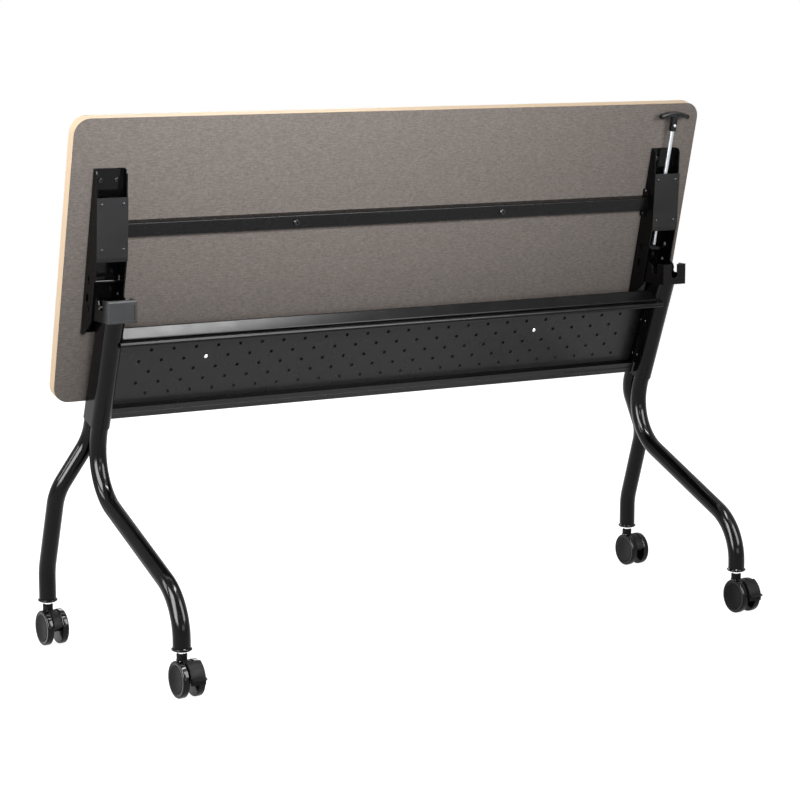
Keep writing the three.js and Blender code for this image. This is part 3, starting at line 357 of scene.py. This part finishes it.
def chipboard(name):
    """Pressed chips of many tones."""
    g = Graph(name)
    chips = g.node("ShaderNodeTexVoronoi", {"Vector": g.place(), "Scale": 350.0})
    tone = g.node("ShaderNodeSeparateColor", {0: chips.outputs["Color"]}).outputs[0]
    g.feed("Base Color", g.mix(tone, CHIP_DARK, CHIP_LIGHT))
    g.feed("Roughness", g.ramp(tone, 0.75, 0.95))
    return g.material


# Enamels and plastics: colour, range of roughness, specular level, strength of the peel or grain
GLOSS_BLACK = enamel("black_coat", (0.0035, 0.0035, 0.0038), (0.11, 0.17), 0.14, 0.02)
RAIL_BLACK = enamel("rail_coat", (0.006, 0.006, 0.0065), (0.20, 0.26), 0.11, 0.02)
BEAM_BLACK = enamel("beam_coat", (0.003, 0.003, 0.0032), (0.22, 0.30), 0.17, 0.04)
GREY = enamel("grey_coat", (0.0165, 0.0165, 0.0176), (0.34, 0.44), 0.12, 0.06)
PANEL_BLACK = perforated_enamel_painted_shade("satin_coat", (0.0045, 0.0045, 0.0048), (0.26, 0.34), 0.34, 0.04)
PLASTIC = moulded_plastic("black_plastic", (0.014, 0.014, 0.0145), (0.40, 0.52), 0.07, 0.14)
CAP_PLASTIC = moulded_plastic("cap_plastic", (0.046, 0.047, 0.0495), (0.36, 0.46), 0.17, 0.08)
NYLON = moulded_plastic("gloss_nylon", (0.0045, 0.0045, 0.005), (0.08, 0.14), 0.16, 0.01)
HANDLE = moulded_plastic("handle_plastic", (0.007, 0.007, 0.0073), (0.22, 0.32), 0.2, 0.05)
HUB = moulded_plastic("hub_grey", (0.048, 0.048, 0.049), (0.46, 0.58), 0.015, 0.10)

# Steels: darkest and lightest colour, range of roughness
BRIGHT = bare_steel("bright_rivet", (0.86, 0.87, 0.88), (0.92, 0.92, 0.93), (0.10, 0.16))
ZINC = bare_steel("zinc", (0.36, 0.38, 0.40), (0.54, 0.56, 0.59), (0.2, 0.36))
OXIDE = bare_steel("black_oxide", (0.030, 0.030, 0.032), (0.055, 0.055, 0.058), (0.16, 0.26))

BACKER = linen_sheet("backer")
EDGE = maple("maple_edge", grain=5, specular=0.03)
LAMINATE = maple("maple_laminate", grain=2, specular=0.1)
CHIPS = chipboard("chipboard")

SLOT_FINISH = {
    "black_coat": GLOSS_BLACK,
    "grey_coat": GREY,
    "black_plastic": PLASTIC,
    "gloss_nylon": NYLON,
    "zinc": ZINC,
    "backer": BACKER,
    "maple": EDGE,
    "chipboard": CHIPS,
}
NODE_FINISH = {
    "top_laminate": LAMINATE,
    "modesty_panel": PANEL_BLACK,
    "upper_rail": RAIL_BLACK,
    "cross_beam": BEAM_BLACK,
    "head_cap": CAP_PLASTIC,
    "t_handle": HANDLE,
    **{f"ferrule_{corner}": NYLON for corner in CORNERS},
    **{f"caster_stem_{corner}": BRIGHT for corner in CORNERS},
}

# Rounded edges and smooth shading for the CAD nodes, in millimetres

SMOOTH_LIMIT = math.radians(38)
BEVEL_LIMIT = math.radians(40)
BEVEL_SEGMENTS = 2
WELD_REACH = 0.002
USUAL_BEVEL = 0.4

# Hidden, thin, round and perforated pieces keep their edges, and the edge band is rounded more
OTHER_BEVELS = {
    "tabletop_core": 0.0,
    "backing_sheet": 0.0,
    "edge_band": 1.2,
    "top_laminate": 0.0,
    "t_handle": 0.0,
    "return_spring": 0.0,
    "modesty_panel": 0.0,
}


def smooth_by_angle(limit):
    """A modifier group that shades smooth across edges flatter than the limit."""
    group = bpy.data.node_groups.new("smooth_by_angle", "GeometryNodeTree")
    group.interface.new_socket("Geometry", in_out="INPUT", socket_type="NodeSocketGeometry")
    group.interface.new_socket("Geometry", in_out="OUTPUT", socket_type="NodeSocketGeometry")
    nodes, links = group.nodes, group.links
    start, end = nodes.new("NodeGroupInput"), nodes.new("NodeGroupOutput")
    bare = nodes.new("GeometryNodeRemoveAttribute")
    bare.inputs["Name"].default_value = "custom_normal"
    faces = nodes.new("GeometryNodeSetShadeSmooth")
    edges = nodes.new("GeometryNodeSetShadeSmooth")
    edges.domain = "EDGE"
    angle = nodes.new("GeometryNodeInputMeshEdgeAngle")
    flat = nodes.new("FunctionNodeCompare")
    flat.operation = "LESS_THAN"
    flat.inputs["B"].default_value = limit
    links.new(start.outputs[0], bare.inputs["Geometry"])
    links.new(bare.outputs[0], faces.inputs["Geometry"])
    links.new(faces.outputs[0], edges.inputs["Geometry"])
    links.new(angle.outputs["Unsigned Angle"], flat.inputs["A"])
    links.new(flat.outputs[0], edges.inputs["Shade Smooth"])
    links.new(edges.outputs[0], end.inputs[0])
    return group


SMOOTH = smooth_by_angle(SMOOTH_LIMIT)


def finish_shape(obj, bevel):
    """Welds the mesh, rounds its sharp edges a little and shades it smooth."""
    weld = obj.modifiers.new("weld", "WELD")
    weld.merge_threshold = WELD_REACH * MM
    if bevel:
        edge = obj.modifiers.new("edges", "BEVEL")
        edge.width = bevel * MM
        edge.segments = BEVEL_SEGMENTS
        edge.limit_method = "ANGLE"
        edge.angle_limit = BEVEL_LIMIT
        edge.use_clamp_overlap = True
    obj.modifiers.new("smooth", "NODES").node_group = SMOOTH
    if bevel:
        flat = obj.modifiers.new("flat_faces", "WEIGHTED_NORMAL")
        flat.keep_sharp = True


for record in frame["record"]["subparts"]:
    name = record["node"]
    node = frame["nodes"][name]
    node.data.materials.clear()
    node.data.materials.append(NODE_FINISH.get(name, SLOT_FINISH[record["material_slot"]]))
    finish_shape(node, OTHER_BEVELS.get(name, USUAL_BEVEL))


# Round meshes, and the pieces made of them


def closed_mesh(name, bm, material):
    """Turns a built shape's faces outwards and keeps it as a mesh."""
    bmesh.ops.recalc_face_normals(bm, faces=bm.faces)
    mesh = bpy.data.meshes.new(name)
    bm.to_mesh(mesh)
    bm.free()
    mesh.materials.append(material)
    return mesh


def swept_mesh(name, stations, sides, material):
    """A closed round mesh through stations of [point, direction, radius]."""
    bm = bmesh.new()
    rings, last = [], stations[0][1]
    across = last.orthogonal().normalized()
    for point, along, radius in stations:
        across = last.rotation_difference(along) @ across
        last = along
        upright = along.cross(across)
        turns = [2 * math.pi * i / sides for i in range(sides)]
        places = [point + radius * (math.cos(t) * across + math.sin(t) * upright) for t in turns]
        rings.append([bm.verts.new(place * MM) for place in places])
    for low, high in zip(rings, rings[1:]):
        for i in range(sides):
            k = (i + 1) % sides
            bm.faces.new((low[i], low[k], high[k], high[i]))
    bm.faces.new(rings[0])
    bm.faces.new(rings[-1])
    return closed_mesh(name, bm, material)


def turned_mesh(name, profile, sides, material, shape=None):
    """A closed mesh turned about Z from [radius, height]; shape can make a ring other than round."""
    bm = bmesh.new()
    rings = []
    for index, (radius, height) in enumerate(profile):
        if radius == 0:
            rings.append([bm.verts.new((0, 0, height * MM))])
            continue
        ring = []
        for i in range(sides):
            turn = 2 * math.pi * i / sides
            reach = radius * MM * (shape(index, turn) if shape else 1)
            ring.append(bm.verts.new((reach * math.cos(turn), reach * math.sin(turn), height * MM)))
        rings.append(ring)
    for low, high in zip(rings, rings[1:]):
        for i in range(sides):
            k = (i + 1) % sides
            if len(low) == 1:
                bm.faces.new((low[0], high[k], high[i]))
            elif len(high) == 1:
                bm.faces.new((low[i], low[k], high[0]))
            else:
                bm.faces.new((low[i], low[k], high[k], high[i]))
    return closed_mesh(name, bm, material)


def add_piece(name, mesh, body, place=Matrix.Identity(4)):
    """Shows a mesh as a piece that rides on a body."""
    obj = bpy.data.objects.new(name, mesh)
    bpy.context.scene.collection.objects.link(obj)
    obj.matrix_world = place
    obj.modifiers.new("smooth", "NODES").node_group = SMOOTH
    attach(obj, body)
    return obj


def stand_piece(name, mesh, point, normal, body, spin=0.0):
    """Stands a mesh made about Z on a point, along a normal."""
    turn = Vector((0, 0, 1)).rotation_difference(Vector(normal).normalized()).to_matrix()
    turn = turn @ Matrix.Rotation(spin, 3, "Z")
    return add_piece(name, mesh, body, Matrix.Translation(Vector(point) * MM) @ turn.to_4x4())


# Legs with finer bends than the CAD tubes, so that highlights run smoothly along them

FINE_LEG_SIDES = 36
FINE_BEND_STEPS = 14
LEG_TOP = POST_BOTTOM + LEG_INSERT
FRONT_HIP = POST_BOTTOM - LEG_EXIT
LEG_BORE_R = LEG_R - LEG_WALL
LEG_BORE_DEPTH = FERRULE_SHANK + FERRULE_ROOM - SEAT_GAP


def bent_line(corners, radius, steps):
    """Straight runs between the corners, joined by round bends."""
    line = [corners[0]]
    for before, corner, after in zip(corners, corners[1:], corners[2:]):
        back, ahead = (before - corner).normalized(), (after - corner).normalized()
        half = back.angle(ahead) / 2
        centre = corner + (back + ahead).normalized() * radius / math.sin(half)
        start = (corner + back * radius / math.tan(half) - centre).normalized()
        end = (corner + ahead * radius / math.tan(half) - centre).normalized()
        line += [centre + radius * start.slerp(end, k / steps) for k in range(steps + 1)]
    return line + [corners[-1]]


def along_line(line):
    """The line's direction at each of its points."""
    runs = [(b - a).normalized() for a, b in zip(line, line[1:])]
    return [runs[0]] + [(a + b).normalized() for a, b in zip(runs, runs[1:])] + [runs[-1]]


def fine_leg(node, corners):
    """A round tube along the bent line, with a bore for the ferrule in its lower end."""
    line = bent_line(corners, LEG_BEND_R, FINE_BEND_STEPS)
    ways = along_line(line)
    end, way = line[-1], ways[-1]
    stations = [(point, along, LEG_R) for point, along in zip(line, ways)]
    stations += [(end, way, LEG_BORE_R), (end - way * LEG_BORE_DEPTH, way, LEG_BORE_R)]
    mesh = swept_mesh(f"{node}_tube", stations, FINE_LEG_SIDES, GLOSS_BLACK)
    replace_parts(add_piece(f"{node}_tube", mesh, "frame"), node)


for side, sign in SIDES:
    post_x = sign * SIDE_X
    foot = CORNERS[f"front_{side}"]
    fine_leg(f"front_leg_{side}", [
        on_lean(post_x, -LEG_SPREAD, LEG_TOP),
        on_lean(post_x, -LEG_SPREAD, FRONT_HIP),
        on_frame(post_x, FRONT_KNEE_Y, FRONT_KNEE_Z),
        on_frame(*foot, FRONT_ANKLE_Z),
        on_frame(*foot, LEG_END_Z),
    ])
    foot = CORNERS[f"rear_{side}"]
    fine_leg(f"rear_leg_{side}", [
        on_lean(post_x, LEG_SPREAD, LEG_TOP),
        on_lean(post_x, LEG_SPREAD, REAR_HIP),
        on_frame(post_x + sign * REAR_KNEE_SPREAD, REAR_KNEE_Y, REAR_KNEE_Z),
        on_frame(*foot, REAR_ANKLE_Z),
        on_frame(*foot, LEG_END_Z),
    ])


# The spring round the rod, which shortens towards its guide as the handle is pulled

FINE_COIL_STEPS = 24
FINE_WIRE_SIDES = 12
LATCH_Z = HINGE_DROP - LATCH_DEPTH
SPRING_R = ROD_R + TURN_GAP + SPRING_WIRE_R
SPRING_FROM_Y = GUIDE_FACE_Y + SPRING_WIRE_R + SEAT_GAP
SPRING_TO_Y = COLLAR_FACE_Y - SPRING_WIRE_R - SEAT_GAP


def coil_line():
    """Points along the middle of the spring's wire."""
    line = []
    steps = SPRING_TURNS * FINE_COIL_STEPS
    for i in range(steps + 1):
        turn = 2 * math.pi * i / FINE_COIL_STEPS
        y = SPRING_FROM_Y + (SPRING_TO_Y - SPRING_FROM_Y) * i / steps
        line.append(in_top(SIDE_X + SPRING_R * math.cos(turn), y, LATCH_Z + SPRING_R * math.sin(turn)))
    return line


coil = coil_line()
wire = [(point, along, SPRING_WIRE_R) for point, along in zip(coil, along_line(coil))]
coil_mesh = swept_mesh("return_spring_coil", wire, FINE_WIRE_SIDES, ZINC)
spring = add_piece("return_spring_coil", coil_mesh, "top")
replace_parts(spring, "return_spring")
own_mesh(spring)


# Screws, each with its socket turned another way

SCREW_SIDES = 24
SCREW_SINK = 0.3
SOCKET_RING = 5
HEAD_SHAPE = ((1, 0.22), (0.82, 0.5), (0.55, 0.58), (0.44, 0.58), (0.42, 0.2), (0, 0.2))


def hex_socket(index, turn):
    """Makes a button head's rings six-sided from its socket's rim on."""
    if index < SOCKET_RING:
        return 1.0
    sector = (turn + math.pi / 6) % (math.pi / 3) - math.pi / 6
    return math.cos(math.pi / 6) / math.cos(sector)


def screw_mesh(name, radius, material):
    """A button head with a six-sided socket; its shape is in shares of its radius."""
    profile = [(0, -SCREW_SINK), (radius, -SCREW_SINK)]
    profile += [(across * radius, high * radius) for across, high in HEAD_SHAPE]
    return turned_mesh(name, profile, SCREW_SIDES, material, hex_socket)


SMALL_SCREW = screw_mesh("small_screw", radius=3.6, material=OXIDE)
BRIGHT_SCREW = screw_mesh("bright_screw", radius=3.4, material=ZINC)
BOLT = screw_mesh("bolt", radius=5.6, material=OXIDE)
WASHER_SCREW = screw_mesh("washer_screw", radius=7.2, material=OXIDE)

# Turns of the sockets from one screw of a kind to the next, in radians
COVER_ROW_SPIN = 0.4
COVER_COLUMN_SPIN = 0.9
WEB_SPIN = 0.7
TAB_SPIN = 0.5
PLATE_SPIN = 0.8
FLANGE_SPIN = 0.3
BEAM_SPIN = 1.0
HANDLE_SPIN = 0.3

# Places of the screws; the web bolts have [up, offset] and the tab screws [up, out]

COVER_SCREW_ROWS = (343.7, 433.6)
COVER_SCREW_OFFSET = 23.5
COVER_SLOPE = (BRACKET_DEPTH - BRACKET_FRONT_DEPTH) / (BRACKET_FRONT - BRACKET_FULL_FROM)
COVER_OUT = BRACKET_DEPTH + SEAT_GAP + COVER_SHEET
COVER_SLOPE_FROM = HINGE_INSET + BRACKET_FULL_FROM
COVER_NORMAL = TOP_TURN @ Vector((0, -COVER_SLOPE, -1))
WEB_BOLTS = ((475.0, 18.0), (475.0, -18.0), (172.0, 0.0))
WEB_OUT = SEAT_GAP + BRACKET_SHEET
TAB_SCREWS = ((401.0, 9.0), (349.0, 10.0))
TAB_X = SIDE_X - BRACKET_WIDTH / 2 - SEAT_GAP - BEAM_TAB_SHEET
PLATE_SCREW_ROWS = (-89.0, -176.0)
PLATE_SCREW_ACROSS = -8.0
PLATE_X = SIDE_X - POST_R - SEAT_GAP - END_PLATE_SHEET
FLANGE_SCREW_ACROSS = 6.5
FLANGE_SCREW_DROP = 3.0
FLANGE_X = PLATE_X - SEAT_GAP - PANEL_SHEET
BEAM_SCREW_X = 255.0
HANDLE_SCREW_RISE = 13.0
HANDLE_SCREW_UP = HINGE_INSET - HANDLE_NECK_Y + HANDLE_SCREW_RISE
HANDLE_SCREW_OUT = LATCH_DEPTH + HANDLE_NECK_HEIGHT / 2


def cover_screws(side, sign):
    for row, up in enumerate(COVER_SCREW_ROWS):
        out = COVER_OUT - (up - COVER_SLOPE_FROM) * COVER_SLOPE
        for column, offset in enumerate((-COVER_SCREW_OFFSET, COVER_SCREW_OFFSET)):
            point = on_top(sign * SIDE_X + offset, up, out)
            spin = COVER_ROW_SPIN * row + COVER_COLUMN_SPIN * column
            stand_piece(f"cover_screw_{side}_{row}{column}", SMALL_SCREW, point,
                        COVER_NORMAL, "top", spin)


def web_bolts(side, sign):
    for row, (up, offset) in enumerate(WEB_BOLTS):
        stand_piece(f"web_bolt_{side}_{row}", BOLT, on_top(sign * SIDE_X - offset, up, WEB_OUT),
                    OUT_OF_TOP, "top", WEB_SPIN * row)


def tab_screws(side, sign):
    for row, (up, out) in enumerate(TAB_SCREWS):
        stand_piece(f"tab_screw_{side}_{row}", SMALL_SCREW, on_top(sign * TAB_X, up, out),
                    (-sign, 0, 0), "top", TAB_SPIN * row)


def plate_screws(side, sign):
    """The screws of the end plate and of the panel's flange beside it."""
    for row, along in enumerate(PLATE_SCREW_ROWS):
        plate = on_lean(sign * PLATE_X, PLATE_SCREW_ACROSS, along)
        flange = on_lean(sign * FLANGE_X, FLANGE_SCREW_ACROSS, along - FLANGE_SCREW_DROP)
        stand_piece(f"plate_screw_{side}_{row}", SMALL_SCREW, plate,
                    (-sign, 0, 0), "frame", PLATE_SPIN * row)
        stand_piece(f"flange_screw_{side}_{row}", SMALL_SCREW, flange,
                    (-sign, 0, 0), "frame", FLANGE_SPIN * row)


for side, sign in SIDES:
    cover_screws(side, sign)
    web_bolts(side, sign)
    tab_screws(side, sign)
    plate_screws(side, sign)

for index, x in enumerate((-BEAM_SCREW_X, BEAM_SCREW_X)):
    stand_piece(f"beam_screw_{index}", WASHER_SCREW, on_top(x, HINGE_INSET - BEAM_Y, BEAM_DEPTH),
                OUT_OF_TOP, "top", BEAM_SPIN * index)

stand_piece("handle_screw", BRIGHT_SCREW, on_top(SIDE_X, HANDLE_SCREW_UP, HANDLE_SCREW_OUT),
            OUT_OF_TOP, "latch", HANDLE_SPIN)


# Bright rivets in two holes of the panel's second row

RIVET_SIDES = 24
RIVET_PROFILE = [(0, -0.4), (4.1, -0.4), (4.1, 0.5), (3.3, 1.1), (1.8, 1.5), (0, 1.6)]
RIVET_COLUMNS = (("left", -8.75), ("right", 7.25))
RIVET = turned_mesh("panel_rivet", RIVET_PROFILE, RIVET_SIDES, BRIGHT)

for side, column in RIVET_COLUMNS:
    hole = on_lean(column * HOLE_PITCH, PANEL_Q, HOLE_FIRST_ROW - HOLE_ROW_PITCH)
    stand_piece(f"panel_rivet_{side}", RIVET, hole, OUT_OF_PANEL, "frame")


# Wheels rounder than the CAD ones, with plain discs in their outer faces

FINE_WHEEL_SIDES = 72
SHOULDER_STEPS = 6
WHEEL_INNER = HOOD_WIDTH / 2 + WHEEL_GAP
WHEEL_FLOOR = WHEEL_WIDTH - WHEEL_DISC_RECESS
AXLE_BORE_R = AXLE_R + SEAT_GAP
AXLE_BORE_DEPTH = AXLE_GRIP + SEAT_GAP
HUB_SIDES = 64
HUB_R = 28.4
HUB_LIFT = 0.15
HUB_FACE = 0.7
HUB_LIP = 1.0
HUB_LIP_EDGES = ((0.0, 0.75), (0.4, HUB_LIP), (1.5, HUB_LIP), (1.9, HUB_FACE))


def shoulder(along, start):
    """A quarter round between the tread and a side of the wheel."""
    turns = [start + math.pi / 2 * i / SHOULDER_STEPS for i in range(SHOULDER_STEPS + 1)]
    middle = WHEEL_R - WHEEL_SHOULDER
    return [(middle + WHEEL_SHOULDER * math.cos(t), along + WHEEL_SHOULDER * math.sin(t)) for t in turns]


WHEEL_PROFILE = [
    (0, AXLE_BORE_DEPTH),
    (AXLE_BORE_R, AXLE_BORE_DEPTH),
    (AXLE_BORE_R, 0),
    *shoulder(WHEEL_SHOULDER, -math.pi / 2),
    *shoulder(WHEEL_WIDTH - WHEEL_SHOULDER, 0),
    (WHEEL_DISC_R + WHEEL_RIM, WHEEL_WIDTH),
    (WHEEL_DISC_R, WHEEL_FLOOR),
    (0, WHEEL_FLOOR),
]
HUB_PROFILE = [
    (0, HUB_LIFT),
    (HUB_R, HUB_LIFT),
    *((HUB_R - inward, height) for inward, height in HUB_LIP_EDGES),
    (0, HUB_FACE),
]
WHEEL = turned_mesh("wheel_round", WHEEL_PROFILE, FINE_WHEEL_SIDES, NYLON)
HUB_DISC = turned_mesh("hub_disc", HUB_PROFILE, HUB_SIDES, HUB)

for corner, (x, y) in CORNERS.items():
    for letter, sign in (("a", 1), ("b", -1)):
        body = f"wheel_{letter}_{corner}"
        inner = on_frame(x + sign * WHEEL_INNER, y - CASTER_TRAIL, WHEEL_R)
        recess = on_frame(x + sign * (WHEEL_INNER + WHEEL_FLOOR), y - CASTER_TRAIL, WHEEL_R)
        wheel = stand_piece(f"{body}_round", WHEEL, inner, (sign, 0, 0), body)
        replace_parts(wheel, body)
        stand_piece(f"hub_{letter}_{corner}", HUB_DISC, recess, (sign, 0, 0), body)


# Studio: floor, world, lamps and camera, with places and sizes in metres

FLOOR_SIZE = 400
FLOOR_GLOW = 0.98
WORLD_LIGHT = 0.05

# Each lamp: name, place, target, width, height, watts and spread in degrees
LAMPS = (
    ("key_left", (-1.3, -2.4, 1.55), (-0.45, 0, 1.5), 1.0, 0.6, 8.4, 55),
    ("key_right", (0.7, -2.4, 1.55), (0.45, 0, 1.5), 1.0, 0.6, 3.0, 55),
    ("front", (-0.2, -4.2, 0.8), (0, 0, 0.9), 2.4, 0.5, 23.5, 180),
    ("top", (0, 0.6, 3.0), (0, 0.1, 0.8), 2.4, 0.6, 19.5, 180),
    ("side", (-2.8, 0.7, 1.7), (-0.7, 0.1, 0.8), 0.6, 1.2, 44, 180),
    ("back", (0.8, 3.2, 2.4), (0, 0.1, 0.7), 2.0, 1.2, 60, 180),
)
HIGHLIGHTS = (
    ("strip", (0.38, -0.77, 3.0), (0.1, -0.2, 0.6), 1.3, 0.35, 84, 180),
    ("bank_left", (-2.7, -0.9, 1.7), (-0.6, 0.1, 0.9), 1.5, 2.6, 420, 180),
    ("bank_right", (1.3, -2.6, 2.2), (0.2, 0, 0.9), 1.6, 2.2, 260, 180),
    ("bank_top", (0.9, -1.7, 3.0), (0.2, 0, 0.7), 1.6, 1.0, 16, 180),
)

# The camera's angles are in radians, its lens and sensor in millimetres
CAMERA_PLACE = (-2.705962, -4.536059 + FRAME_SHIFT_Y * MM, 1.337263)
CAMERA_DIP = 0.15895
CAMERA_TURN = -0.53195
CAMERA_LENS = 112.467
CAMERA_SENSOR = 36.0
CAMERA_REACH = 100.0


def studio_floor():
    """A white floor that keeps shadows; its own glow makes it white to the camera and in reflections."""
    bpy.ops.mesh.primitive_plane_add(size=FLOOR_SIZE, location=(0, 0, 0))
    floor = bpy.context.object
    floor.name = "floor"
    g = Graph("floor_white")
    g.feed("Base Color", (0.5, 0.5, 0.5, 1))
    g.feed("Roughness", 0.9)
    g.feed("Specular IOR Level", 0.0)
    paths = g.node("ShaderNodeLightPath").outputs
    seen = g.math("MAXIMUM", paths["Is Camera Ray"], paths["Is Glossy Ray"])
    seen = g.math("MAXIMUM", seen, paths["Is Transmission Ray"])
    strength = g.math("MULTIPLY", seen, FLOOR_GLOW)
    glow = g.node("ShaderNodeEmission", {"Color": (1, 1, 1, 1), "Strength": strength})
    both = g.node("ShaderNodeAddShader", {0: g.shader.outputs[0], 1: glow.outputs[0]})
    g.tree.links.new(both.outputs[0], g.tree.nodes["Material Output"].inputs["Surface"])
    floor.data.materials.append(g.material)
    floor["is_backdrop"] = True


def studio_world():
    """White to the camera, in reflections and through glass; dimmer as a light."""
    world = bpy.data.worlds.new("studio")
    bpy.context.scene.world = world
    world.use_nodes = True
    tree = world.node_tree
    back = tree.nodes["Background"]
    paths = tree.nodes.new("ShaderNodeLightPath")
    seen = paths.outputs["Is Camera Ray"]
    for name in ("Is Glossy Ray", "Is Transmission Ray"):
        pick = tree.nodes.new("ShaderNodeMath")
        pick.operation = "MAXIMUM"
        tree.links.new(seen, pick.inputs[0])
        tree.links.new(paths.outputs[name], pick.inputs[1])
        seen = pick.outputs[0]
    level = tree.nodes.new("ShaderNodeMapRange")
    level.inputs[3].default_value = WORLD_LIGHT
    level.inputs[4].default_value = 1.0
    tree.links.new(seen, level.inputs["Value"])
    tree.links.new(level.outputs[0], back.inputs["Strength"])
    back.inputs["Color"].default_value = (1, 1, 1, 1)


def dark_pieces():
    """The pieces that the highlight lamps may shine on, so that they leave the pale top alone."""
    pale = {BACKER, EDGE, LAMINATE, CHIPS}
    group = bpy.data.collections.new("dark_pieces")
    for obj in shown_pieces():
        if not pale & set(obj.data.materials):
            group.objects.link(obj)
    return group


def softbox(name, place, target, width, height, power, spread, shines_on=None):
    """An area lamp; one that shines on some pieces only shows there as a highlight and lights nothing."""
    lamp = bpy.data.lights.new(name, "AREA")
    lamp.shape = "RECTANGLE"
    lamp.size = width
    lamp.size_y = height
    lamp.energy = power
    lamp.spread = math.radians(spread)
    obj = bpy.data.objects.new(name, lamp)
    bpy.context.scene.collection.objects.link(obj)
    obj.location = place
    obj.rotation_euler = (Vector(target) - Vector(place)).to_track_quat("-Z", "Y").to_euler()
    obj.visible_camera = False
    if shines_on:
        obj.visible_diffuse = False
        obj.light_linking.receiver_collection = shines_on


def camera():
    """The photograph's camera."""
    data = bpy.data.cameras.new("camera")
    data.sensor_width = CAMERA_SENSOR
    data.lens = CAMERA_LENS
    data.clip_end = CAMERA_REACH
    obj = bpy.data.objects.new("camera", data)
    bpy.context.scene.collection.objects.link(obj)
    obj.location = CAMERA_PLACE
    obj.rotation_euler = (math.pi / 2 - CAMERA_DIP, 0, CAMERA_TURN)
    bpy.context.scene.camera = obj


studio_floor()
studio_world()
for lamp in LAMPS:
    softbox(*lamp)
dark = dark_pieces()
for lamp in HIGHLIGHTS:
    softbox(*lamp, shines_on=dark)
camera()
bpy.context.scene.view_settings.view_transform = "Standard"
